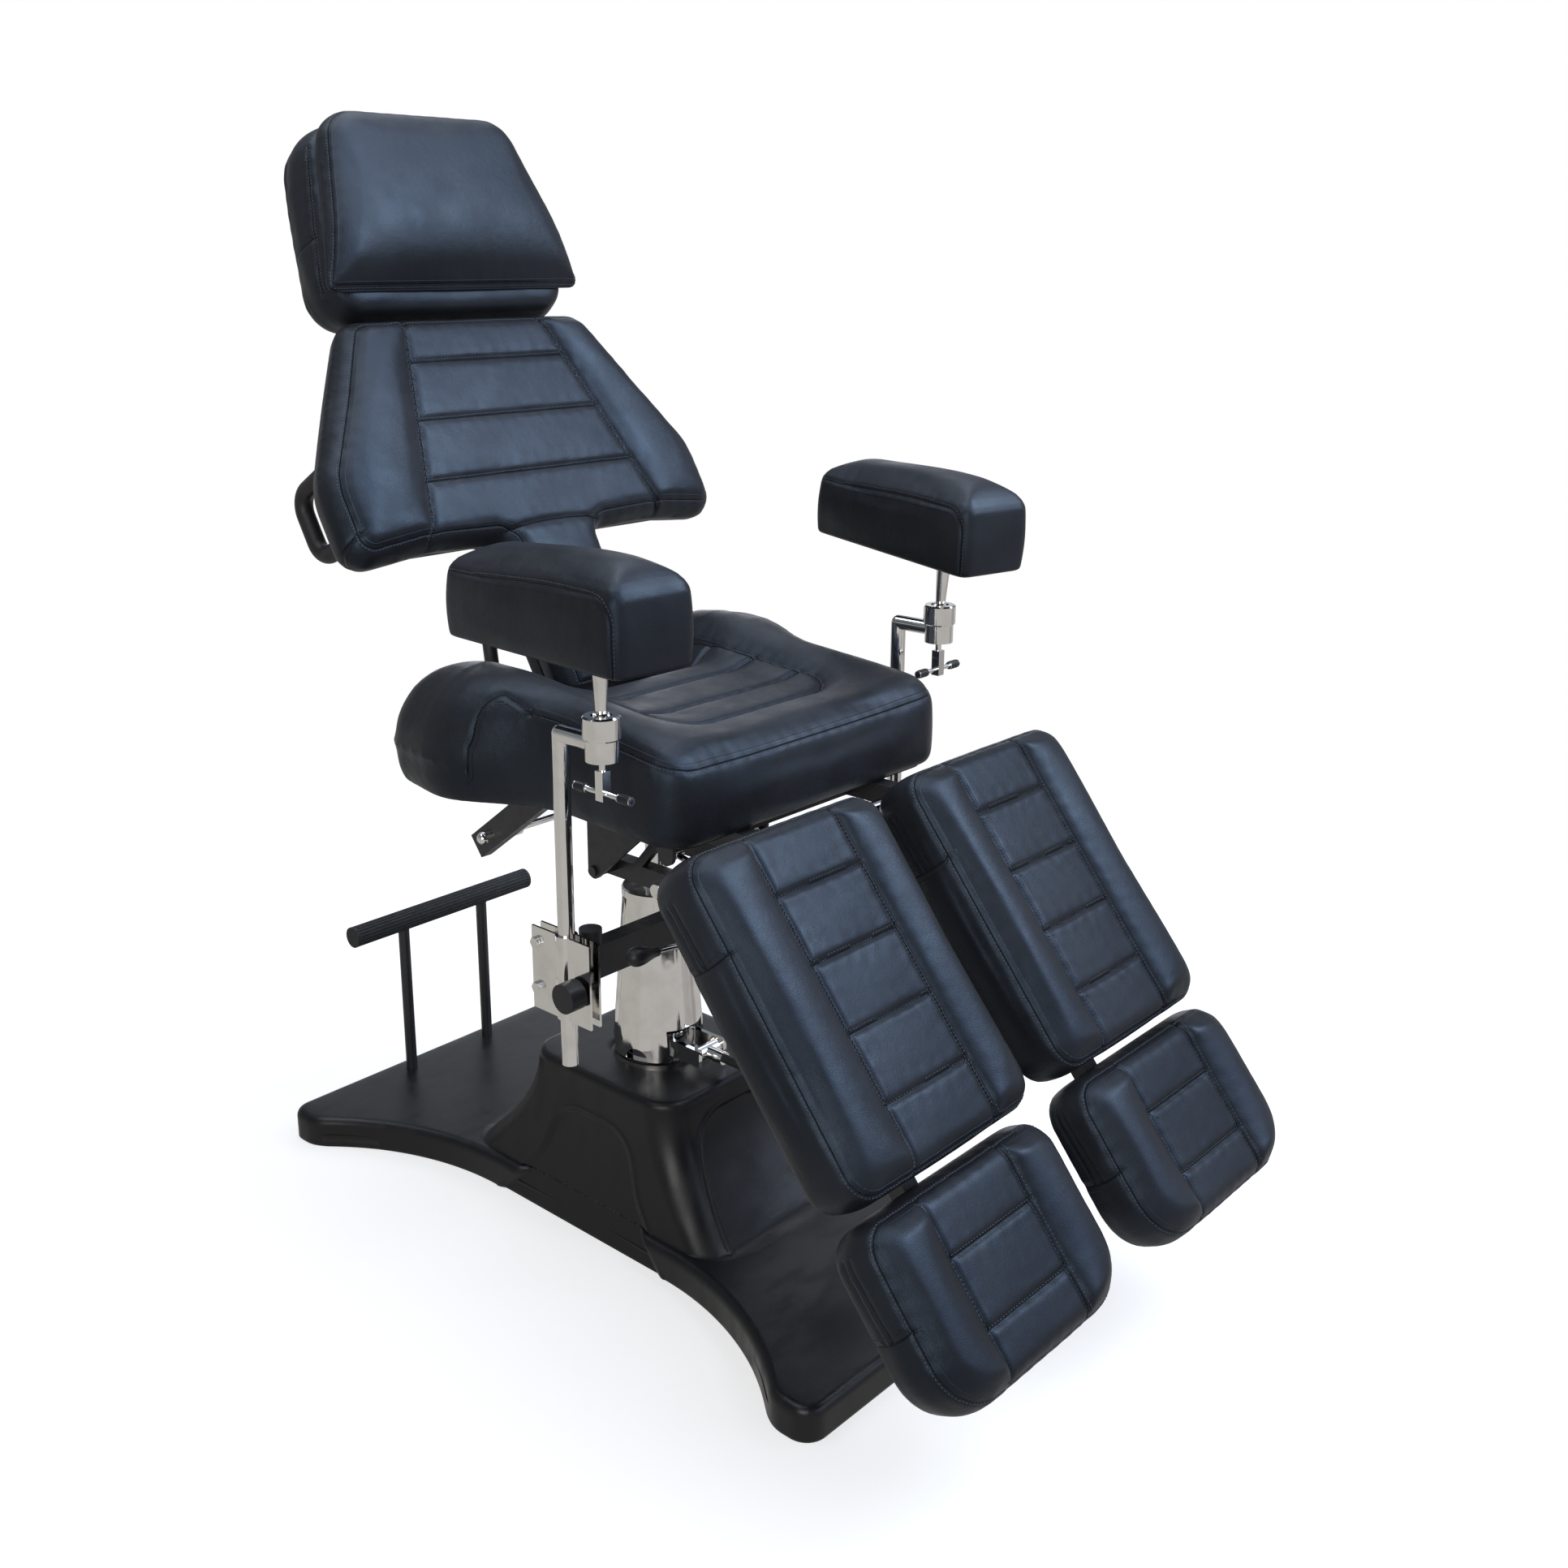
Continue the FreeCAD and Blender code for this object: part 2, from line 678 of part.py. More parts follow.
def make_base():
    """The steel plate, the moulded cover and the foot bar."""
    corners, radii = base_corners()
    PARTS["base_plate"] = slab(corners, radii, 0, PLATE_THICK, COVER_WALL + ARCH_RECESS + 3 * PLATE_GAP)

    outer = arched(cover_form(0, COVER_LIFT), 0, COVER_LIFT - OVERRUN)
    inner = arched(cover_form(COVER_WALL, COVER_LIFT - OVERRUN), COVER_WALL, COVER_LIFT - OVERRUN)
    cover = outer.cut(inner)
    drum_hole = rod(vec(0, 0, WING_TOP), vec(0, 0, PLATFORM_TOP + OVERRUN), DRUM_RADIUS + SLIDE_GAP)
    cover = cover.cut(drum_hole)
    for side in (-1, 1):
        foot = vec(side * FOOT_POST_X, FOOT_BAR_Y, 0)
        cover = cover.cut(rod(foot, foot + vec(0, 0, WING_TOP + OVERRUN), FOOT_POST_RADIUS + SLIDE_GAP))
    PARTS["base_cover"] = cover


def make_foot_bar():
    """Two posts that carry a ribbed rubber bar behind the chair."""
    core = rod(
        vec(-FOOT_BAR_HALF, FOOT_BAR_Y, FOOT_BAR_Z), vec(FOOT_BAR_HALF, FOOT_BAR_Y, FOOT_BAR_Z),
        FOOT_CORE_RADIUS
    )
    pieces = [core]
    for side in (-1, 1):
        foot = vec(side * FOOT_POST_X, FOOT_BAR_Y, PLATE_THICK)
        pieces.append(rod(foot, vec(side * FOOT_POST_X, FOOT_BAR_Y, FOOT_BAR_Z), FOOT_POST_RADIUS))
    frame = joined(pieces)
    PARTS["foot_bar_frame"] = frame

    grip = rod(core_point(-1), core_point(1), FOOT_GRIP_RADIUS - GRIP_RIB_RADIUS)
    ribs = []
    for i in range(GRIP_RIB_COUNT):
        turn = 2 * math.pi * i / GRIP_RIB_COUNT
        reach = FOOT_GRIP_RADIUS - GRIP_RIB_RADIUS
        lift = vec(0, reach * math.cos(turn), reach * math.sin(turn))
        ribs.append(rod(core_point(-1) + lift, core_point(1) + lift, GRIP_RIB_RADIUS))
    grip = joined([grip] + ribs).cut(frame)
    caps = []
    for side in (-1, 1):
        cap = rod(core_point(side), core_point(side) + vec(side * FOOT_CAP_THICK, 0, 0), FOOT_GRIP_RADIUS)
        caps.append(cap)
    PARTS["foot_bar_grip"] = group([grip] + caps)


def core_point(side):
    """One end of the foot bar's core."""
    return vec(side * FOOT_BAR_HALF, FOOT_BAR_Y, FOOT_BAR_Z)


def shroud_outline(radius, height):
    """One level of the pressed shroud: a ring of soft facets."""
    corners = []
    for i in range(SHROUD_SIDES):
        turn = 2 * math.pi * (i + SHROUD_TURN_SHARE) / SHROUD_SIDES
        reach = radius / math.cos(math.pi / SHROUD_SIDES)
        corners.append((reach * math.cos(turn), reach * math.sin(turn)))
    return outline(corners, [radius / 2] * SHROUD_SIDES, height)


def make_pump():
    """The hydraulic drum and neck, the pressed shroud with its scalloped hem, and the ram."""
    drum = rod(vec(0, 0, PLATE_THICK), vec(0, 0, DRUM_TOP), DRUM_RADIUS)
    head = rod(vec(0, 0, DRUM_TOP), vec(0, 0, HEAD_TOP), HEAD_RADIUS)
    neck_top = SHROUD_TOP + COLLAR_HEIGHT - COLLAR_LIP
    neck = rod(vec(0, 0, HEAD_TOP), vec(0, 0, neck_top), NECK_RADIUS)
    bore = rod(vec(0, 0, RAM_BORE_BOTTOM), vec(0, 0, neck_top + OVERRUN), RAM_RADIUS + RUN_GAP)
    pieces = [drum, head, neck]
    for side in (-1, 1):
        inner = side * PEDAL_LUG_HALF
        outer = side * (PEDAL_LUG_HALF - PEDAL_LUG_THICK)
        low, high = min(inner, outer), max(inner, outer)
        half = PEDAL_LUG_HEIGHT / 2
        pieces.append(block(low, high, PEDAL_Y - half, 0, PEDAL_Z - half, PEDAL_Z + half))
    drum = joined(pieces).cut(bore)
    pin_hole = rod(
        vec(-PEDAL_LUG_HALF, PEDAL_Y, PEDAL_Z), vec(PEDAL_LUG_HALF, PEDAL_Y, PEDAL_Z), PEDAL_PIN_RADIUS
    )
    PARTS["pump_drum"] = drum.cut(pin_hole)

    shell = stacked(
        [shroud_outline(SHROUD_FOOT_RADIUS, SHROUD_BOTTOM), shroud_outline(SHROUD_TOP_RADIUS, SHROUD_TOP)]
    )
    inner = stacked([shroud_outline(SHROUD_FOOT_RADIUS - SHROUD_WALL, SHROUD_BOTTOM),
                     shroud_outline(SHROUD_TOP_RADIUS - SHROUD_WALL, SHROUD_TOP)])
    collar = rod(
        vec(0, 0, SHROUD_TOP - COLLAR_LIP), vec(0, 0, SHROUD_TOP + COLLAR_HEIGHT),
        SHROUD_TOP_RADIUS + COLLAR_LIP
    )
    collar = collar.makeChamfer(COLLAR_LIP, [collar.Edges[0]])
    recess = rod(vec(0, 0, SHROUD_TOP - 2 * COLLAR_LIP), vec(0, 0, neck_top), NECK_RADIUS + SLIDE_GAP)
    shroud = joined([shell.cut(inner), collar.cut(recess)])
    shroud = shroud.cut(
        rod(
            vec(0, 0, SHROUD_TOP - OVERRUN), vec(0, 0, SHROUD_TOP + 2 * COLLAR_HEIGHT),
            RAM_RADIUS + SLIDE_GAP
        )
    )
    for i in range(HEM_WAVE_COUNT):
        turn = 2 * math.pi * (i + HEM_TURN_SHARE) / HEM_WAVE_COUNT
        out = vec(math.cos(turn), math.sin(turn), 0) * (2 * SHROUD_FOOT_RADIUS)
        shroud = shroud.cut(rod(vec(0, 0, SHROUD_BOTTOM), vec(0, 0, SHROUD_BOTTOM) + out, HEM_WAVE_RADIUS))
    half = PEDAL_WINDOW_WIDTH
    shroud = shroud.cut(
        block(-half, half, -2 * SHROUD_FOOT_RADIUS, 0, SHROUD_BOTTOM - OVERRUN, PEDAL_WINDOW_TOP)
    )
    PARTS["pump_shroud"] = shroud

    PARTS["ram"] = rod(vec(0, 0, RAM_BOTTOM), vec(0, 0, RAM_TOP), RAM_RADIUS)


def make_pedal():
    """The pump pedal: a cross clamp on the pump's lever pin, and a bent foot lever."""
    pivot = vec(0, PEDAL_Y, PEDAL_Z)
    barrel_half = PEDAL_LUG_HALF - PEDAL_LUG_THICK - SLIDE_GAP
    barrel = rod(pivot - vec(barrel_half, 0, 0), pivot + vec(barrel_half, 0, 0), PEDAL_BARREL_RADIUS)
    socket = rod(pivot, pivot - vec(0, PEDAL_SOCKET_LENGTH, 0), PEDAL_SOCKET_RADIUS)
    pin = rod(
        pivot - vec(PEDAL_LUG_HALF, 0, 0), pivot + vec(PEDAL_LUG_HALF, 0, 0), PEDAL_PIN_RADIUS - RUN_GAP
    )
    pieces = [barrel, socket, pin]
    for shift in (-barrel_half / 2, barrel_half / 2):
        top = pivot + vec(shift, 0, 0)
        pieces.append(
            rod(top, top - vec(0, 0, PEDAL_BARREL_RADIUS + PEDAL_SCREW_LENGTH), PEDAL_SCREW_RADIUS)
        )
    bore_start = pivot - vec(0, PEDAL_BARREL_RADIUS, 0)
    bore_end = pivot - vec(0, PEDAL_SOCKET_LENGTH + OVERRUN, 0)
    PARTS["pedal_clamp"] = joined(pieces).cut(rod(bore_start, bore_end, PEDAL_ROD_RADIUS))

    bend = bore_start - vec(0, PEDAL_SOCKET_LENGTH + PEDAL_BEND, 0)
    tip = pivot - vec(0, PEDAL_REACH, PEDAL_DROP)
    lever = bent_bar([bore_start, bend, tip], PEDAL_ROD_RADIUS, PEDAL_BEND_RADIUS)
    half = PEDAL_PAD_WIDTH / 2
    pad_corners = mirrored_corners([(half, tip.y - PEDAL_PAD_DEPTH), (half, tip.y)])
    pad_round = PEDAL_PAD_DEPTH / 4
    pad = slab(pad_corners, [pad_round] * 4, tip.z - PEDAL_PAD_THICK / 2, tip.z + PEDAL_PAD_THICK / 2)
    PARTS["pedal_lever"] = joined([lever, pad])


def arm_direction():
    """The unit direction of a spring arm, from the rail down to the cross rod."""
    return vec(0, CROSS_ROD_Y - SPRING_ARM_TOP_Y, CROSS_ROD_Z - SPRING_ARM_TOP_Z).normalize()


def spring_arm():
    """One flat arm from the rail's inner face down and back to the cross rod."""
    along = arm_direction()
    across = vec(0, -along.z, along.y) * (SPRING_ARM_WIDE / 2)
    low = vec(RAIL_X - RAIL_WIDE / 2 - SPRING_ARM_THICK, 0, 0)
    top = vec(0, SPRING_ARM_TOP_Y, SPRING_ARM_TOP_Z) + low
    end = vec(0, CROSS_ROD_Y, CROSS_ROD_Z) + low + along * SPRING_ARM_WIDE
    corners = [top + across, top - across, end - across, end + across]
    arm = Part.Face(Part.makePolygon(corners + corners[:1])).extrude(vec(SPRING_ARM_THICK, 0, 0))
    above = block(0, BASE_WIDTH, -BASE_LENGTH, BASE_LENGTH, RAIL_TOP, RAIL_TOP + BASE_LENGTH)
    return arm.cut(above)


def make_seat_frame():
    """The welded tube frame under the seat with its spring arms and hinge lugs."""
    half = RAIL_WIDE / 2
    pieces = []
    for side in (-1, 1):
        x = side * RAIL_X
        pieces.append(block(x - half, x + half, RAIL_FRONT, RAIL_BACK, RAIL_BOTTOM, RAIL_TOP))
        pieces.append(on_side(spring_arm(), side))
        lug_low = side * BACK_LUG_X - BACK_LUG_THICK / 2
        lug_half = BACK_LUG_WIDE / 2
        pieces.append(
            block(
                lug_low, lug_low + BACK_LUG_THICK, BACK_HINGE_Y - lug_half, BACK_HINGE_Y + lug_half,
                RAIL_BOTTOM, BACK_HINGE_Z + BACK_LUG_ABOVE
            )
        )
    for y in (CROSS_FRONT, CROSS_BACK):
        pieces.append(block(-RAIL_X, RAIL_X, y, y + RAIL_WIDE, RAIL_BOTTOM, RAIL_TOP))
    frame = joined(pieces)
    for y, z, radius in (
        (BACK_HINGE_Y, BACK_HINGE_Z, BACK_PIN_RADIUS), (LEG_HINGE_Y, LEG_HINGE_Z, LEG_SHAFT_RADIUS),
        (CROSS_ROD_Y, CROSS_ROD_Z, CROSS_ROD_RADIUS)
    ):
        frame = frame.cut(rod(vec(-BASE_WIDTH, y, z), vec(BASE_WIDTH, y, z), radius))
    PARTS["seat_frame"] = frame

    back_half = BACK_LUG_X + BACK_LUG_THICK
    back_pin = rod(
        vec(-back_half, BACK_HINGE_Y, BACK_HINGE_Z), vec(back_half, BACK_HINGE_Y, BACK_HINGE_Z),
        BACK_PIN_RADIUS
    )
    leg_shaft = rod(
        vec(-LEG_SHAFT_HALF, LEG_HINGE_Y, LEG_HINGE_Z), vec(LEG_SHAFT_HALF, LEG_HINGE_Y, LEG_HINGE_Z),
        LEG_SHAFT_RADIUS
    )
    cross = [
        rod(
            vec(-CROSS_ROD_HALF, CROSS_ROD_Y, CROSS_ROD_Z), vec(CROSS_ROD_HALF, CROSS_ROD_Y, CROSS_ROD_Z),
            CROSS_ROD_RADIUS
        )
    ]
    for side in (-1, 1):
        face = vec(side * (RAIL_X - RAIL_WIDE / 2), CROSS_ROD_Y, CROSS_ROD_Z)
        end = face + vec(side * ACORN_LENGTH, 0, 0)
        cross.append(rod(face, end, ACORN_RADIUS))
        cross.append(Part.makeSphere(ACORN_RADIUS, end))
    PARTS["hinge_rods"] = group([back_pin, leg_shaft, joined(cross)])


def gusset():
    """One hanging side plate, from the rails down to the pin at its lower tip."""
    tip = vec(GUSSET_X, GUSSET_PIN_Y, GUSSET_PIN_Z)
    back = GUSSET_PIN_Y + GUSSET_TIP_RADIUS
    slope = math.atan2(RAIL_BOTTOM - GUSSET_PIN_Z, GUSSET_PIN_Y - GUSSET_FRONT)
    low = vec(
        GUSSET_X, GUSSET_PIN_Y - GUSSET_TIP_RADIUS * math.sin(slope),
        GUSSET_PIN_Z - GUSSET_TIP_RADIUS * math.cos(slope)
    )
    front = vec(GUSSET_X, GUSSET_FRONT, RAIL_BOTTOM)
    corners = [vec(GUSSET_X, back, GUSSET_PIN_Z), vec(GUSSET_X, back, RAIL_BOTTOM - RAIL_WIDE),
               vec(GUSSET_X, back + GUSSET_BACK, RAIL_BOTTOM), front, low, tip]
    plate = Part.Face(Part.makePolygon(corners + corners[:1])).extrude(vec(GUSSET_THICK, 0, 0))
    disc = rod(tip, tip + vec(GUSSET_THICK, 0, 0), GUSSET_TIP_RADIUS)
    foot = block(
        GUSSET_X, RAIL_X + RAIL_WIDE / 2, GUSSET_FRONT, back + GUSSET_BACK, RAIL_BOTTOM - GUSSET_THICK,
        RAIL_BOTTOM
    )
    head = rod(tip, tip + vec(GUSSET_THICK + GUSSET_PIN_HEAD, 0, 0), GUSSET_PIN_RADIUS)
    return joined([plate, disc, foot, head])


def make_hanging_frame():
    """The saddle on the ram, the gussets and the two side members that carry the arm bar and leg springs."""
    saddle = rod(vec(0, 0, SADDLE_BOTTOM), vec(0, 0, RAIL_BOTTOM - SADDLE_PLATE_THICK), SADDLE_RADIUS)
    reach = RAIL_X + RAIL_WIDE / 2
    plate = block(
        -reach, reach, -SADDLE_PLATE_HALF_Y, SADDLE_PLATE_HALF_Y, RAIL_BOTTOM - SADDLE_PLATE_THICK,
        RAIL_BOTTOM
    )
    pieces = [saddle, plate]
    half = MEMBER_WIDE / 2
    bar_back = POLE_Y + BAR_DEEP / 2
    for side in (-1, 1):
        pieces.append(on_side(gusset(), side))
        x = side * MEMBER_X
        pieces.append(block(x - half, x + half, bar_back, MEMBER_BACK, MEMBER_BOTTOM, MEMBER_TOP))
        link_low, link_high = sorted((x, side * (GUSSET_X + GUSSET_THICK)))
        pieces.append(
            block(
                link_low, link_high, 0, GUSSET_TIP_RADIUS + GUSSET_PIN_Y, MEMBER_BOTTOM + half, MEMBER_TOP
            )
        )
        corners = [
            vec(x - half, STRUT_FOOT_Y, MEMBER_TOP - OVERRUN),
            vec(x - half, STRUT_FOOT_Y - STRUT_DEEP, MEMBER_TOP - OVERRUN),
            vec( x - half, STRUT_TOP_Y - STRUT_DEEP, RAIL_BOTTOM ), vec(x - half, STRUT_TOP_Y, RAIL_BOTTOM)
        ]
        pieces.append(
            Part.Face(Part.makePolygon(corners + corners[:1])).extrude(vec(MEMBER_WIDE / 2, 0, 0))
        )
        strut_pad = block(min(x, side * reach), max(x, side * reach), STRUT_TOP_Y - STRUT_DEEP, STRUT_TOP_Y,
                          RAIL_BOTTOM - GUSSET_THICK, RAIL_BOTTOM)
        pieces.append(strut_pad)
        lug_x = side * (LEG_SPRING_X + SPRING_EYE_RADIUS)
        lug_low, lug_high = sorted((lug_x, lug_x + side * SPRING_LUG_THICK))
        pieces.append(
            rod(
                vec(lug_low, SPRING_LUG_Y, SPRING_LUG_Z), vec(lug_high, SPRING_LUG_Y, SPRING_LUG_Z),
                SPRING_LUG_RADIUS
            )
        )
        pieces.append(
            block(
                lug_low, lug_high, SPRING_LUG_Y - SPRING_LUG_RADIUS, SPRING_LUG_Y + SPRING_LUG_RADIUS,
                SPRING_LUG_Z, RAIL_BOTTOM
            )
        )
        pieces.append(rod(vec(side * (LEG_SPRING_X - SPRING_EYE_RADIUS), SPRING_LUG_Y, SPRING_LUG_Z),
                          vec(lug_x, SPRING_LUG_Y, SPRING_LUG_Z), SPRING_PIN_RADIUS))
    frame = joined(pieces)
    socket = rod(vec(0, 0, SADDLE_BOTTOM - OVERRUN), vec(0, 0, RAM_TOP + SLIDE_GAP), RAM_RADIUS + RUN_GAP)
    PARTS["hanging_frame"] = frame.cut(socket)


def clamp_plate(direction):
    """One chrome plate of a pole clamp, bent round the pole. Direction +1 is the outer plate."""
    near = POLE_X + direction * CLAMP_HALF_GAP
    far = near + direction * CLAMP_PLATE
    flat = block(min(near, far), max(near, far), CLAMP_FRONT, CLAMP_BACK, CLAMP_BOTTOM, CLAMP_TOP)
    foot = vec(POLE_X, POLE_Y, CLAMP_BOTTOM)
    top = vec(POLE_X, POLE_Y, CLAMP_TOP)
    half_space = block(min(near, near + direction * KNOB_RADIUS), max(near, near + direction * KNOB_RADIUS),
                       CLAMP_FRONT, CLAMP_BACK, CLAMP_BOTTOM, CLAMP_TOP)
    bulge = rod(foot, top, POLE_RADIUS + SLIDE_GAP + CLAMP_PLATE).common(half_space)
    hollow = rod(foot - vec(0, 0, OVERRUN), top + vec(0, 0, OVERRUN), POLE_RADIUS + SLIDE_GAP)
    plate = joined([flat, bulge]).cut(hollow)
    for y, z in ((BOLT_Y, BOLT_HIGH_Z), (BOLT_Y, BOLT_LOW_Z), (KNOB_Y, KNOB_Z)):
        plate = plate.cut(rod(vec(0, y, z), vec(BASE_WIDTH, y, z), BOLT_RADIUS + SLIDE_GAP))
    return plate


def hexagon_head(start, direction, radius, thick):
    """A bolt head or nut with its axis along X."""
    corners = []
    for i in range(HEX_SIDES):
        turn = 2 * math.pi * i / HEX_SIDES
        corners.append(start + vec(0, radius * math.cos(turn), radius * math.sin(turn)))
    return Part.Face(Part.makePolygon(corners + corners[:1])).extrude(vec(direction * thick, 0, 0))


def lobed_knob(radius, thick):
    """A hand knob on z = 0, with finger lobes round its rim."""
    body = Part.makeCylinder(radius - KNOB_LOBE_RADIUS / 2, thick)
    for i in range(KNOB_LOBES):
        turn = 2 * math.pi * i / KNOB_LOBES
        reach = radius + KNOB_LOBE_RADIUS / 2
        centre = vec(reach * math.cos(turn), reach * math.sin(turn), -OVERRUN)
        body = body.cut(Part.makeCylinder(KNOB_LOBE_RADIUS, thick + 2 * OVERRUN, centre))
    return body


def make_arm_bar():
    """The cross bar, the pole clamps, their bolts and knobs."""
    half_deep = BAR_DEEP / 2
    half_tall = BAR_TALL / 2
    reach = POLE_X - CLAMP_HALF_GAP - CLAMP_PLATE
    bar = block(-reach, reach, POLE_Y - half_deep, POLE_Y + half_deep, BAR_Z - half_tall, BAR_Z + half_tall)
    for side in (-1, 1):
        low = vec(side * POLE_X, POLE_Y, BAR_Z - BAR_TALL)
        bar = bar.cut(rod(low, low + vec(0, 0, 2 * BAR_TALL), POLE_RADIUS + SLIDE_GAP + CLAMP_PLATE))
    lever_pin = rod(
        vec(-LEVER_X, POLE_Y, LEVER_Z), vec(-LEVER_X, LEVER_Y - LEVER_BOSS_HALF, LEVER_Z), LEVER_PIN_RADIUS
    )
    stop = rod(vec(-LEVER_X, LEVER_Y - LEVER_BOSS_HALF - SLIDE_GAP, LEVER_Z),
               vec(
                   -LEVER_X, LEVER_Y - LEVER_BOSS_HALF - LEVER_PIN_HEAD, LEVER_Z
               ), LEVER_BOSS_RADIUS - EDGE_ROUND)
    link = rod(
        vec(-LEVER_X, LEVER_Y, LEVER_Z), vec(-LEVER_X, LEVER_Y - LEVER_BOSS_HALF - LEVER_PIN_HEAD, LEVER_Z),
        LEVER_PIN_RADIUS
    )
    bar = joined([bar, lever_pin, stop, link])
    screws = []
    for side in (-1, 1):
        hole = vec(side * BAR_KNOB_X, POLE_Y, BAR_Z)
        bar = bar.cut(rod(hole, hole + vec(0, 0, BAR_TALL), BOLT_RADIUS + RUN_GAP))
        knob = lobed_knob(BAR_KNOB_RADIUS, BAR_KNOB_THICK)
        screw = rod(vec(0, 0, -BAR_TALL / 3), vec(0, 0, BAR_KNOB_THICK / 2), BOLT_RADIUS)
        knob = joined([knob, screw])
        knob.translate(vec(side * BAR_KNOB_X, POLE_Y, BAR_Z + half_tall + BAR_KNOB_STAND))
        name = "right" if side < 0 else "left"
        PARTS["bar_knob_" + name] = knob
    PARTS["arm_cross_bar"] = bar

    plates = []
    for side in (-1, 1):
        for direction in (-1, 1):
            plates.append(on_side(clamp_plate(direction), side))
        outer = POLE_X + CLAMP_HALF_GAP + CLAMP_PLATE
        inner = POLE_X - CLAMP_HALF_GAP - CLAMP_PLATE
        for z in (BOLT_HIGH_Z, BOLT_LOW_Z):
            shank = rod(vec(inner, BOLT_Y, z), vec(outer, BOLT_Y, z), BOLT_RADIUS)
            head = hexagon_head(vec(outer, BOLT_Y, z), 1, BOLT_HEAD_RADIUS, BOLT_HEAD_THICK)
            nut = hexagon_head(vec(inner, BOLT_Y, z), -1, BOLT_HEAD_RADIUS, BOLT_HEAD_THICK)
            screws.append(on_side(joined([shank, head, nut]), side))
    PARTS["clamp_plates"] = group(plates)
    PARTS["clamp_bolts"] = group(screws)

    for name, side in SIDES:
        outer = POLE_X + CLAMP_HALF_GAP + CLAMP_PLATE
        inner = POLE_X - CLAMP_HALF_GAP - CLAMP_PLATE
        knob = lobed_knob(KNOB_RADIUS, KNOB_THICK)
        knob.rotate(ORIGIN, Y_AXIS, 90)
        knob.translate(vec(outer + KNOB_STAND, KNOB_Y, KNOB_Z))
        screw = rod(
            vec(inner, KNOB_Y, KNOB_Z), vec(outer + KNOB_STAND + KNOB_THICK / 2, KNOB_Y, KNOB_Z),
            BOLT_RADIUS
        )
        collar = rod(
            vec(outer + SLIDE_GAP, KNOB_Y, KNOB_Z), vec(outer + KNOB_STAND, KNOB_Y, KNOB_Z),
            BOLT_HEAD_RADIUS
        )
        nut = hexagon_head(vec(inner - SLIDE_GAP, KNOB_Y, KNOB_Z), -1, BOLT_HEAD_RADIUS, BOLT_HEAD_THICK)
        tail = rod(
            vec(inner - SLIDE_GAP - BOLT_HEAD_THICK, KNOB_Y, KNOB_Z), vec(inner, KNOB_Y, KNOB_Z),
            BOLT_RADIUS
        )
        PARTS["height_knob_" + name] = on_side(joined([knob, screw, collar, nut, tail]), side)


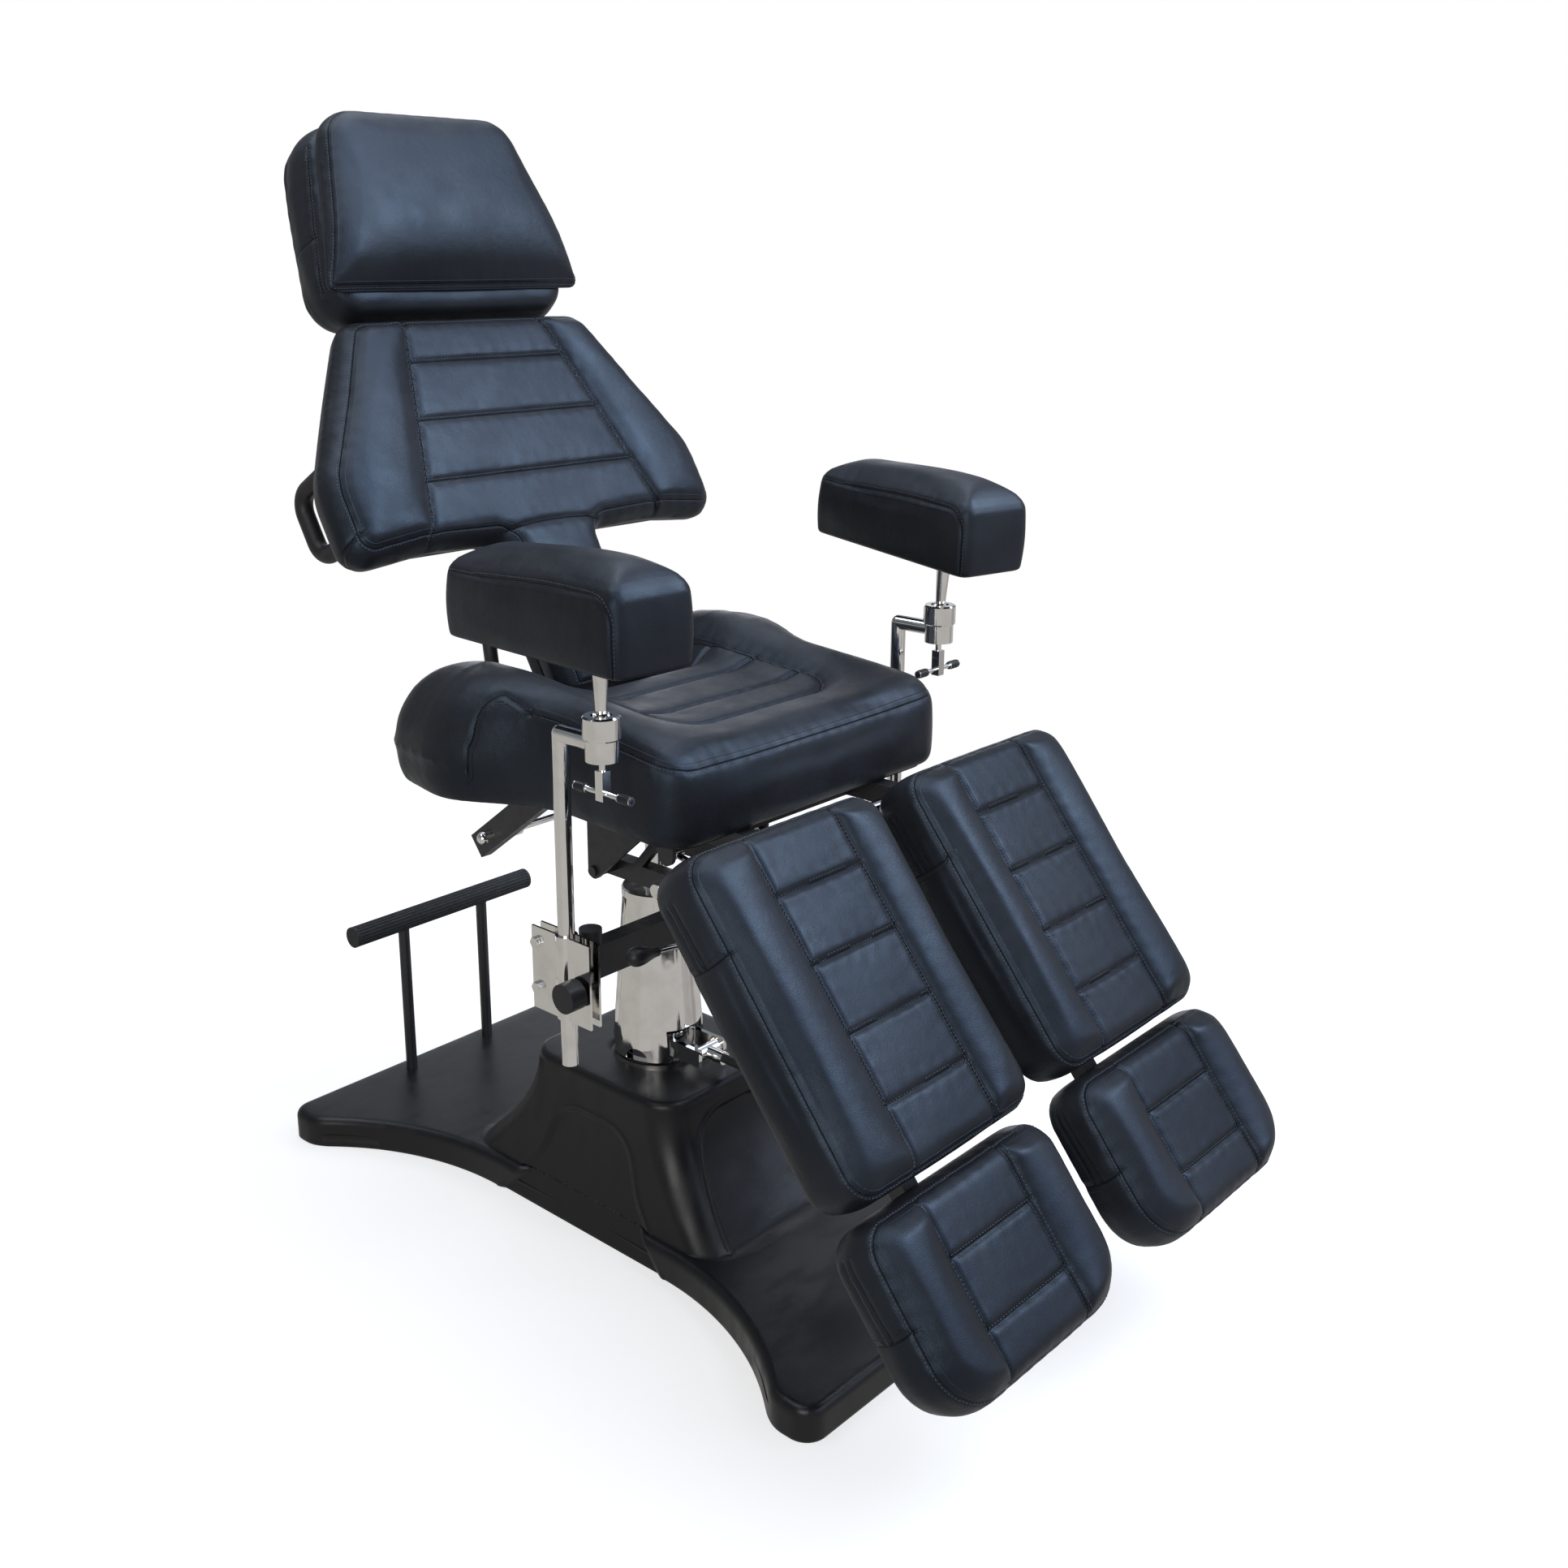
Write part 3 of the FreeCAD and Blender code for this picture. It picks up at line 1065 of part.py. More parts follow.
def make_arm(name, side, pole_foot, yaw, tilt):
    """One armrest: pole and cup, ball seat, ball and stem, tee handle and pad."""
    pole_top = pole_foot + POLE_LENGTH
    cup_top = pole_top + CUP_TOP_ABOVE_POLE
    cup_bottom = cup_top - CUP_HEIGHT
    foot = vec(POLE_X, POLE_Y, pole_foot)
    corner = vec(POLE_X, POLE_Y, pole_top - POLE_RADIUS)
    stub_end = vec(POLE_X, CUP_Y, pole_top - POLE_RADIUS)
    pole = joined(
        [
            rod(foot, corner, POLE_RADIUS), Part.makeSphere(POLE_RADIUS, corner),
            rod(corner, stub_end, POLE_RADIUS)
        ]
    )
    cup = rod(vec(POLE_X, CUP_Y, cup_bottom), vec(POLE_X, CUP_Y, cup_top), CUP_RADIUS)
    collar = rod(
        vec(POLE_X, CUP_Y, cup_top - CUP_COLLAR_HEIGHT), vec(POLE_X, CUP_Y, cup_top), CUP_COLLAR_RADIUS
    )
    collar = collar.makeChamfer(CUP_CHAMFER, collar.Edges)
    ball_z = cup_top - BALL_DROP
    pocket = rod(
        vec(POLE_X, CUP_Y, ball_z - SOCKET_HEIGHT), vec(POLE_X, CUP_Y, ball_z + SPINDLE_RADIUS),
        SOCKET_RADIUS + RUN_GAP
    )
    mouth = rod(vec(POLE_X, CUP_Y, ball_z), vec(POLE_X, CUP_Y, cup_top + OVERRUN), STEM_MOUTH_RADIUS)
    thread = rod(
        vec(POLE_X, CUP_Y, cup_bottom - OVERRUN), vec(POLE_X, CUP_Y, ball_z), SPINDLE_RADIUS + RUN_GAP
    )
    clearance = Part.makeSphere(BALL_RADIUS + SLIDE_GAP, vec(POLE_X, CUP_Y, ball_z))
    body = joined([pole, cup, collar]).cut(pocket).cut(mouth).cut(thread).cut(clearance)
    PARTS["arm_pole_" + name] = on_side(body, side)

    seat = rod(
        vec(POLE_X, CUP_Y, ball_z - SOCKET_HEIGHT), vec(POLE_X, CUP_Y, ball_z + SPINDLE_RADIUS - SLIDE_GAP),
        SOCKET_RADIUS
    )
    seat = seat.cut(clearance).cut(mouth)
    seat = seat.cut(
        rod(
            vec(POLE_X, CUP_Y, ball_z - 2 * SOCKET_HEIGHT), vec(POLE_X, CUP_Y, ball_z),
            SPINDLE_RADIUS + SLIDE_GAP
        )
    )
    PARTS["arm_ball_seat_" + name] = on_side(seat, side)

    stem_top = cup_top + STEM_TOP_ABOVE_CUP
    ball = Part.makeSphere(BALL_RADIUS, vec(0, 0, 0))
    lift = stem_top - ball_z
    stem = Part.makeCone(STEM_LOW_RADIUS, STEM_TOP_RADIUS, lift - STEM_PLATE_THICK)
    plate = rod(vec(0, 0, lift - STEM_PLATE_THICK), vec(0, 0, lift), STEM_PLATE_RADIUS)
    ball_stem = joined([ball, stem, plate])
    half = ARM_PAD_WIDTH / 2
    corners = mirrored_corners([(half, -ARM_PAD_FRONT), (half, ARM_PAD_LENGTH - ARM_PAD_FRONT)])
    pad = cushion(corners, [ARM_PAD_CORNER] * 4, ARM_PAD_HEIGHT, ARM_PAD_CROWN, ARM_PAD_TOP_SHARE)
    pad.translate(vec(0, 0, lift))
    place = vec(side * POLE_X, CUP_Y, ball_z)
    for label, shape in (("arm_stem_", ball_stem), ("arm_pad_", pad)):
        shape.rotate(ORIGIN, X_AXIS, tilt)
        shape.rotate(ORIGIN, Z_AXIS, yaw)
        shape.translate(place)
        PARTS[label + name] = shape

    block_top = cup_bottom - SPINDLE_HEIGHT
    block_low = block_top - TEE_BLOCK_HEIGHT
    half = TEE_BLOCK_SIDE / 2
    tee_z = block_low + TEE_BAR_UP
    screw_top = ball_z - SOCKET_HEIGHT - SLIDE_GAP
    spindle = rod(vec(0, 0, block_top), vec(0, 0, screw_top), SPINDLE_RADIUS)
    tee_block = block(-half, half, -half, half, block_low, block_top)
    across = X_AXIS if side > 0 else Y_AXIS
    bar = rod(
        across * -TEE_BAR_HALF + vec(0, 0, tee_z), across * TEE_BAR_HALF + vec(0, 0, tee_z), TEE_BAR_RADIUS
    )
    pieces = [spindle, tee_block, bar]
    for end in (-1, 1):
        outer = across * (end * TEE_BAR_HALF) + vec(0, 0, tee_z)
        inner = across * (end * (TEE_BAR_HALF - TEE_GRIP_LENGTH)) + vec(0, 0, tee_z)
        pieces.append(rod(inner, outer, TEE_GRIP_RADIUS))
    tee = joined(pieces)
    tee.translate(vec(side * POLE_X, CUP_Y, 0))
    PARTS["tee_handle_" + name] = tee


def make_release_lever():
    """The hand lever that frees the leg springs, with a teardrop grip."""
    pivot = vec(-LEVER_X, LEVER_Y, LEVER_Z)
    boss = sleeve(pivot - vec(0, LEVER_BOSS_HALF - SLIDE_GAP, 0), pivot + vec(0, LEVER_BOSS_HALF, 0),
                  LEVER_BOSS_RADIUS, LEVER_PIN_RADIUS + RUN_GAP)
    along = vec(-(LEVER_GRIP_START - LEVER_X), 0, LEVER_RISE).normalize()
    start = pivot + along * (LEVER_PIN_RADIUS + LEVER_ROD_RADIUS)
    neck = pivot + along * (LEVER_GRIP_START - LEVER_X)
    bar = rod(start, neck, LEVER_ROD_RADIUS)
    length = LEVER_GRIP_END - LEVER_GRIP_START
    cone = Part.makeCone(
        LEVER_ROD_RADIUS + EDGE_ROUND, LEVER_GRIP_RADIUS, length - LEVER_GRIP_RADIUS, neck, along
    )
    tip = Part.makeSphere(LEVER_GRIP_RADIUS, neck + along * (length - LEVER_GRIP_RADIUS))
    PARTS["release_lever"] = joined([boss, bar, cone, tip])


def seat_corners():
    """The seat's plan: square front, slight waist, wide rounded wings and a notch for the back's tongue."""
    half = [(SEAT_FRONT_HALF, SEAT_FRONT), (SEAT_WAIST_HALF, SEAT_WAIST_Y), (SEAT_HIP_HALF, SEAT_HIP_Y),
            (SEAT_WING_HALF, SEAT_BACK), (SEAT_HORN_X, SEAT_HORN_Y), (SEAT_NOTCH_HALF, SEAT_NOTCH_Y)]
    corner = SEAT_THICK / 2
    radii = [corner, 2 * SEAT_THICK, SEAT_THICK, corner + corner / 2, corner / 2, corner / 3]
    return mirrored_corners(half), mirrored_radii(radii)


def make_seat():
    """The seat board and its cushion with side bolsters and cross channels."""
    corners, radii = seat_corners()
    board_low = RAIL_TOP
    PARTS["seat_board"] = slab(corners, radii, board_low, board_low + SEAT_BOARD_THICK, SEAT_BOARD_INSET)
    pad = cushion(
        corners, radii, SEAT_THICK, SEAT_CROWN, SEAT_BOARD_INSET / SEAT_THICK + PAD_INSET_SHARES[-1]
    )
    face = SEAT_THICK + SEAT_CROWN
    cuts = []
    last = SEAT_CHANNEL_FIRST + SEAT_CHANNEL_STEP * (SEAT_CHANNELS - 1)
    for i in range(SEAT_CHANNELS):
        y = SEAT_CHANNEL_FIRST + SEAT_CHANNEL_STEP * i
        cuts.append(channel(vec(-SEAT_PANEL_HALF, y), vec(SEAT_PANEL_HALF, y), face))
    for side in (-1, 1):
        cuts.append(
            channel(
                vec(side * SEAT_PANEL_HALF, SEAT_CHANNEL_FIRST), vec(side * SEAT_PANEL_HALF, last), face
            )
        )
    pad = pad.cut(joined(cuts))
    pad.translate(vec(0, 0, board_low + SEAT_BOARD_THICK))
    PARTS["seat_cushion"] = pad


def back_corners():
    """The back's outline, flat: wide low corners, a narrow top and a tongue down the middle."""
    half = [
        (TONGUE_HALF, TONGUE_LOW), (TONGUE_HALF, 0), (BACK_LOW_HALF, 0),
        (BACK_SHOULDER_HALF, BACK_SHOULDER), (BACK_TOP_HALF, BACK_TOP)
    ]
    corner = BACK_THICK / 3
    radii = [corner / 2, corner / 2, corner, BACK_THICK, corner + corner / 2]
    return mirrored_corners(half), mirrored_radii(radii)


def back_place(shape):
    """Stand a flat-modelled piece of the back in the chair: z = 0 is the face of the back."""
    return leaned(shape, BACK_ANGLE, BACK_ORIGIN_Y, BACK_ORIGIN_Z)


def make_back():
    """The back's cushion, board, steel bars and grab handles."""
    corners, radii = back_corners()
    pad_thick = BACK_THICK - BACK_BOARD_THICK - BACK_CROWN
    pad = cushion(corners, radii, pad_thick, BACK_CROWN)
    face = pad_thick + BACK_CROWN
    cuts = []
    for y in BACK_CHANNELS:
        share = (y - BACK_SEAM_LOW) / (BACK_TOP - BACK_SEAM_LOW)
        half = BACK_SEAM_LOW_HALF + (BACK_SEAM_TOP_HALF - BACK_SEAM_LOW_HALF) * share
        cuts.append(channel(vec(-half, y), vec(half, y), face))
    for side in (-1, 1):
        low = vec(side * BACK_SEAM_LOW_HALF, BACK_SEAM_LOW)
        cuts.append(channel(low, vec(side * BACK_SEAM_TOP_HALF, BACK_TOP), face))
    cuts.append(channel(vec(-TONGUE_HALF, BACK_SEAM_LOW), vec(TONGUE_HALF, BACK_SEAM_LOW), face))
    pad = pad.cut(group(cuts))
    pad.translate(vec(0, 0, BACK_BOARD_THICK - BACK_THICK))
    PARTS["back_cushion"] = back_place(pad)
    board = slab(corners, radii, -BACK_THICK, BACK_BOARD_THICK - BACK_THICK, BACK_BOARD_INSET)
    PARTS["back_board"] = back_place(board)

    hinge = flattened(vec(0, BACK_HINGE_Y, BACK_HINGE_Z), BACK_ANGLE, BACK_ORIGIN_Y, BACK_ORIGIN_Z)
    hinge_up, hinge_out = hinge.y, hinge.z
    half = BACK_BAR_WIDE / 2
    bar_face = -BACK_THICK
    bar_rear = bar_face - BACK_BAR_THICK
    pieces = []
    for side in (-1, 1):
        x = side * BACK_BAR_X
        pieces.append(block(x - half, x + half, hinge_up, BACK_BAR_TOP, bar_rear, bar_face))
        pieces.append(
            rod(vec(x - half, hinge_up, hinge_out), vec(x + half, hinge_up, hinge_out), BACK_SLEEVE_RADIUS)
        )
        pieces.append(
            block(x - half, x + half, hinge_up - BACK_SLEEVE_RADIUS / 2, hinge_up, bar_rear, hinge_out)
        )
    pieces.append(
        block(-BACK_BAR_X, BACK_BAR_X, BACK_BAR_TOP - BACK_BAR_WIDE, BACK_BAR_TOP, bar_rear, bar_face)
    )
    spring_pin = flattened(
        vec(0, BACK_SPRING_TOP_Y, BACK_SPRING_TOP_Z), BACK_ANGLE, BACK_ORIGIN_Y, BACK_ORIGIN_Z
    )
    pin_up, pin_out = spring_pin.y, spring_pin.z
    lug_out = -BACK_SPRING_X - SPRING_EYE_RADIUS
    pieces.append(
        block(
            lug_out - BACK_LUG_THICK, lug_out, pin_up - BACK_LUG_WIDE / 2, pin_up + BACK_LUG_WIDE / 2,
            pin_out - SPRING_EYE_RADIUS, bar_face
        )
    )
    pieces.append(
        block(
            lug_out - BACK_LUG_THICK, -BACK_BAR_X, pin_up - BACK_LUG_WIDE / 2, pin_up + BACK_LUG_WIDE / 2,
            bar_face - BACK_LUG_THICK / 2, bar_face
        )
    )
    pieces.append(
        rod(
            vec(lug_out, pin_up, pin_out), vec(-BACK_SPRING_X + SPRING_EYE_RADIUS, pin_up, pin_out),
            SPRING_PIN_RADIUS
        )
    )
    stem_out = -BACK_THICK - STEM_BEHIND
    for side in (-1, 1):
        guide = rod(
            vec(side * STEM_X, GUIDE_TOP - GUIDE_LENGTH, stem_out), vec(side * STEM_X, GUIDE_TOP, stem_out),
            GUIDE_OUTER
        )
        web = block(
            side * STEM_X - SPRING_PIN_RADIUS, side * STEM_X + SPRING_PIN_RADIUS, GUIDE_TOP - GUIDE_LENGTH,
            GUIDE_TOP, stem_out, bar_face
        )
        pieces.extend([guide, web])
    frame = joined(pieces)
    for side in (-1, 1):
        low = vec(side * STEM_X, GUIDE_TOP - GUIDE_LENGTH - OVERRUN, stem_out)
        frame = frame.cut(rod(low, low + vec(0, GUIDE_LENGTH + 2 * OVERRUN, 0), STEM_RADIUS + RUN_GAP))
    reach = vec(BACK_BAR_X + BACK_BAR_WIDE, hinge_up, hinge_out)
    frame = frame.cut(rod(vec(-reach.x, hinge_up, hinge_out), reach, BACK_PIN_RADIUS + RUN_GAP))
    PARTS["back_frame"] = back_place(frame)

    handles = []
    for side in (-1, 1):
        x = side * GRAB_X
        points = [vec(x, GRAB_HIGH, bar_face), vec(x, GRAB_HIGH, bar_face - GRAB_REACH),
                  vec(x, GRAB_LOW, bar_face - GRAB_REACH), vec(x, GRAB_LOW, bar_face)]
        handles.append(bent_bar(points, GRAB_RADIUS, GRAB_BEND))
    PARTS["grab_handles"] = back_place(group(handles))


def head_place(shape):
    """Stand a flat-modelled piece of the headrest in the chair: z = 0 is the face of the cushion."""
    return leaned(shape, HEAD_ANGLE, HEAD_ORIGIN_Y, HEAD_ORIGIN_Z)


def make_headrest():
    """The headrest's two cushions, board and hinge, and the stems that slide in the back."""
    face_corners = mirrored_corners([(HEAD_LOW_HALF, 0), (HEAD_TOP_HALF, HEAD_HEIGHT)])
    corner = HEAD_FACE_THICK / 2
    face_thick = HEAD_FACE_THICK - HEAD_CROWN
    face_pad = cushion(
        face_corners, mirrored_radii([corner / 3, corner + corner / 2]), face_thick, HEAD_CROWN
    )
    face_pad.translate(vec(0, 0, -HEAD_FACE_THICK))
    PARTS["headrest_cushion"] = head_place(face_pad)

    base_corners_flat = mirrored_corners(
        [(HEAD_LOW_HALF - corner / 3, -HEAD_BASE_DROP), (HEAD_TOP_HALF + corner / 3, HEAD_HEIGHT)]
    )
    base_radii = mirrored_radii([corner + corner, corner + corner])
    base_top = -HEAD_FACE_THICK - SOFT_GAP
    base_low = base_top - HEAD_BASE_THICK
    base_pad = cushion(
        base_corners_flat, base_radii, HEAD_BASE_THICK, 0, PAD_INSET_SHARES[-1] + PAD_INSET_SHARES[0]
    )
    board = slab(base_corners_flat, base_radii, base_low - HEAD_BOARD_THICK, base_low, BACK_BOARD_INSET)
    base_pad.translate(vec(0, 0, base_low))

    turn_back = math.radians(BACK_ANGLE)
    stem_out = -BACK_THICK - STEM_BEHIND
    pivot = leaned_point(0, HEAD_PIVOT_UP, stem_out, BACK_ANGLE, BACK_ORIGIN_Y, BACK_ORIGIN_Z)
    pivot_flat = flattened(pivot, HEAD_ANGLE, HEAD_ORIGIN_Y, HEAD_ORIGIN_Z)
    recess_high = pivot_flat.y + HEAD_RECESS_UP
    recess = block(
        -HEAD_RECESS_HALF, HEAD_RECESS_HALF, -2 * HEAD_BASE_DROP, recess_high, base_low - OVERRUN,
        base_low + HEAD_RECESS_DEEP
    )
    base_pad = base_pad.cut(recess)
    notch_half = STEM_X + STEM_SLOT_HALF
    notch_high = pivot_flat.y + HEAD_SLEEVE_RADIUS + SLIDE_GAP
    board = board.cut(block(-notch_half, notch_half, -2 * HEAD_BASE_DROP, notch_high,
                            base_low - HEAD_BOARD_THICK - OVERRUN, base_low + OVERRUN))
    PARTS["headrest_base_cushion"] = head_place(base_pad)
    PARTS["headrest_board"] = head_place(board)

    tube = rod(
        pivot_flat - vec(HEAD_SLEEVE_HALF, 0, 0), pivot_flat + vec(HEAD_SLEEVE_HALF, 0, 0),
        HEAD_SLEEVE_RADIUS
    )
    web = block(
        -HEAD_SLEEVE_HALF, HEAD_SLEEVE_HALF, pivot_flat.y, recess_high - SLIDE_GAP, base_low,
        base_low + HEAD_PLATE_THICK
    )
    bore = rod(
        pivot_flat - vec(2 * HEAD_SLEEVE_HALF, 0, 0), pivot_flat + vec(2 * HEAD_SLEEVE_HALF, 0, 0),
        HEAD_PIN_RADIUS + RUN_GAP
    )
    PARTS["headrest_hinge"] = head_place(joined([tube, web]).cut(bore))

    up = vec(0, math.cos(turn_back), math.sin(turn_back))
    stems = [rod(pivot - vec(STEM_X, 0, 0), pivot + vec(STEM_X, 0, 0), HEAD_PIN_RADIUS)]
    for side in (-1, 1):
        top = pivot + vec(side * STEM_X, 0, 0)
        stems.append(rod(top - up * STEM_DOWN, top, STEM_RADIUS))
        stems.append(Part.makeSphere(STEM_RADIUS, top))
    PARTS["headrest_stems"] = joined(stems)


def gas_spring(rod_pin, tube_pin, tube_length, rod_length, rod_pin_radius):
    """A gas spring between two pins: the tube, and the rod that slides in it."""
    along = (rod_pin - tube_pin).normalize()
    half = vec(SPRING_EYE_RADIUS - SLIDE_GAP, 0, 0)
    tube_start = tube_pin + along * (SPRING_EYE_RADIUS - EDGE_ROUND)
    tube_end = tube_start + along * tube_length
    body = rod(tube_start, tube_end, SPRING_TUBE_RADIUS)
    bore = rod(tube_start + along * SPRING_TUBE_RADIUS, tube_end + along * OVERRUN, SPRING_TUBE_BORE)
    eye = rod(tube_pin - half, tube_pin + half, SPRING_EYE_RADIUS)
    tube = joined([body.cut(bore), eye]).cut(
        rod(tube_pin - half * 2, tube_pin + half * 2, SPRING_PIN_RADIUS + RUN_GAP)
    )
    rod_eye = rod(rod_pin - half, rod_pin + half, rod_pin_radius + SPRING_ROD_RADIUS)
    shaft = rod(rod_pin, rod_pin - along * rod_length, SPRING_ROD_RADIUS)
    shaft = joined([rod_eye, shaft]).cut(
        rod(rod_pin - half * 2, rod_pin + half * 2, rod_pin_radius + RUN_GAP)
    )
    return tube, shaft


def make_back_spring():
    """The gas spring that holds the back."""
    rod_pin = vec(-BACK_SPRING_X, CROSS_ROD_Y, CROSS_ROD_Z)
    tube_pin = vec(-BACK_SPRING_X, BACK_SPRING_TOP_Y, BACK_SPRING_TOP_Z)
    PARTS["back_spring_tube"], PARTS["back_spring_rod"] = gas_spring(
        rod_pin, tube_pin, BACK_SPRING_TUBE, BACK_SPRING_ROD, CROSS_ROD_RADIUS)


def leg_place(shape):
    """Stand a flat-modelled piece of a leg rest in the chair: z = 0 is the pad's face."""
    return leaned(shape, LEG_ANGLE, LEG_ORIGIN_Y, LEG_ORIGIN_Z)


def ribbed_pad(corners, radii, thick, crown, seams, rows, rise, low):
    """A pad with two long seams and cross channels between them."""
    pad = cushion(corners, radii, thick, crown)
    face = thick + crown
    inner, outer = seams
    cuts = []
    for y in rows:
        cuts.append(channel(vec(inner, y), vec(outer, y), face))
    top, bottom = rise
    for x in seams:
        cuts.append(channel(vec(x, bottom), vec(x, top), face))
    pad = pad.cut(group(cuts))
    pad.translate(vec(0, 0, low))
    return pad


def make_leg(name, side):
    """One leg rest: cushion, board, steel frame and the lug for its gas spring."""
    corners = [(LEG_INNER, -LEG_LENGTH), (LEG_OUTER, -LEG_LENGTH), (LEG_OUTER, 0), (LEG_INNER, 0)]
    radii = [LEG_CORNER] * 4
    pad_thick = LEG_THICK - LEG_BOARD_THICK - LEG_CROWN
    rows = [LEG_CHANNEL_FIRST + LEG_CHANNEL_STEP * i for i in range(LEG_CHANNELS)]
    pad = ribbed_pad(corners, radii, pad_thick, LEG_CROWN, (LEG_SEAM_INNER, LEG_SEAM_OUTER), rows,
                     (-LEG_CORNER, LEG_CORNER - LEG_LENGTH), LEG_BOARD_THICK - LEG_THICK)
    board = slab(corners, radii, -LEG_THICK, LEG_BOARD_THICK - LEG_THICK, LEG_BOARD_INSET)
    PARTS["leg_cushion_" + name] = on_side(leg_place(pad), side)
    PARTS["leg_board_" + name] = on_side(leg_place(board), side)

    hinge = flattened(vec(0, LEG_HINGE_Y, LEG_HINGE_Z), LEG_ANGLE, LEG_ORIGIN_Y, LEG_ORIGIN_Z)
    hinge_up, hinge_out = hinge.y, hinge.z
    half = LEG_TUBE_SIDE / 2
    low = -LEG_THICK - LEG_STRAP_THICK - LEG_TUBE_SIDE
    top = -LEG_THICK - LEG_STRAP_THICK
    tube = block(LEG_TUBE_X - half, LEG_TUBE_X + half, -LEG_LENGTH, hinge_up, low, top)
    pivot_sleeve = rod(
        vec(LEG_SLEEVE_IN, hinge_up, hinge_out), vec(LEG_SLEEVE_OUT, hinge_up, hinge_out), LEG_SLEEVE_RADIUS
    )
    pieces = [tube, pivot_sleeve]
    for y in (LEG_STRAP_HIGH, LEG_STRAP_LOW):
        pieces.append(
            block(
                LEG_INNER + LEG_CORNER, LEG_OUTER - LEG_CORNER, y - LEG_STRAP_WIDE / 2,
                y + LEG_STRAP_WIDE / 2, top, -LEG_THICK
            )
        )
    lug_x = LEG_SPRING_X + SPRING_EYE_RADIUS
    pin_out = low + LEG_TUBE_SIDE - LEG_LUG_DEEP
    lug_half = LEG_STRAP_WIDE / 4
    pieces.append(
        block(
            lug_x, lug_x + SPRING_LUG_THICK, LEG_LUG_UP - lug_half, LEG_STRAP_HIGH, top - LEG_TUBE_SIDE / 2,
            top
        )
    )
    pieces.append(
        block(
            lug_x, lug_x + SPRING_LUG_THICK, LEG_LUG_UP - lug_half, LEG_LUG_UP + lug_half,
            pin_out - lug_half, top
        )
    )
    pieces.append(
        block(lug_x, LEG_TUBE_X, LEG_LUG_UP - lug_half, LEG_LUG_UP + lug_half, top - LEG_STRAP_THICK, top)
    )
    pieces.append(
        rod(
            vec(LEG_SPRING_X - SPRING_EYE_RADIUS, LEG_LUG_UP, pin_out), vec(lug_x, LEG_LUG_UP, pin_out),
            SPRING_PIN_RADIUS
        )
    )
    frame = joined(pieces)
    frame = frame.cut(
        rod(vec(0, hinge_up, hinge_out), vec(BASE_WIDTH, hinge_up, hinge_out), LEG_SHAFT_RADIUS + RUN_GAP)
    )
    inner = FOOT_TUBE_SIDE / 2 + SLIDE_GAP
    middle = (low + top) / 2
    bore = block(
        LEG_TUBE_X - inner, LEG_TUBE_X + inner, -LEG_LENGTH - OVERRUN, FOOT_TUBE_UP + LEG_CORNER,
        middle - inner, middle + inner
    )
    PARTS["leg_frame_" + name] = on_side(leg_place(frame.cut(bore)), side)

    foot_face = -FOOT_DROP
    foot_low = foot_face - FOOT_THICK
    foot_corners = [
        (FOOT_INNER, FOOT_TOP - FOOT_LENGTH), (FOOT_OUTER, FOOT_TOP - FOOT_LENGTH), (FOOT_OUTER, FOOT_TOP),
        (FOOT_INNER, FOOT_TOP)
    ]
    foot_radii = [FOOT_LOW_CORNER, FOOT_LOW_CORNER, LEG_CORNER, LEG_CORNER]
    foot_thick = FOOT_THICK - LEG_BOARD_THICK - LEG_CROWN
    foot_pad = ribbed_pad(
        foot_corners, foot_radii, foot_thick, LEG_CROWN, (FOOT_SEAM_INNER, FOOT_SEAM_OUTER), FOOT_CHANNELS,
        ( FOOT_TOP - LEG_CORNER, FOOT_TOP - FOOT_LENGTH + LEG_CORNER ), foot_low + LEG_BOARD_THICK
    )
    foot_board = slab(foot_corners, foot_radii, foot_low, foot_low + LEG_BOARD_THICK, LEG_BOARD_INSET)
    PARTS["foot_cushion_" + name] = on_side(leg_place(foot_pad), side)
    PARTS["foot_board_" + name] = on_side(leg_place(foot_board), side)
    slim = FOOT_TUBE_SIDE / 2
    slide_tube = block(
        LEG_TUBE_X - slim, LEG_TUBE_X + slim, FOOT_TUBE_LOW, FOOT_TUBE_UP, middle - slim, middle + slim
    )
    plate = block(
        LEG_TUBE_X - FOOT_PLATE_HALF, LEG_TUBE_X + FOOT_PLATE_HALF, FOOT_TUBE_LOW, FOOT_TOP - LEG_CORNER,
        middle + slim - OVERRUN, foot_low
    )
    PARTS["foot_frame_" + name] = on_side(leg_place(joined([slide_tube, plate])), side)

    rod_pin = vec(LEG_SPRING_X, SPRING_LUG_Y, SPRING_LUG_Z)
    tube_pin = leaned_point(LEG_SPRING_X, LEG_LUG_UP, pin_out, LEG_ANGLE, LEG_ORIGIN_Y, LEG_ORIGIN_Z)
    spring_tube, spring_rod = gas_spring(
        rod_pin, tube_pin, LEG_SPRING_TUBE, LEG_SPRING_ROD, SPRING_PIN_RADIUS
    )
    PARTS["leg_spring_tube_" + name] = on_side(spring_tube, side)
    PARTS["leg_spring_rod_" + name] = on_side(spring_rod, side)


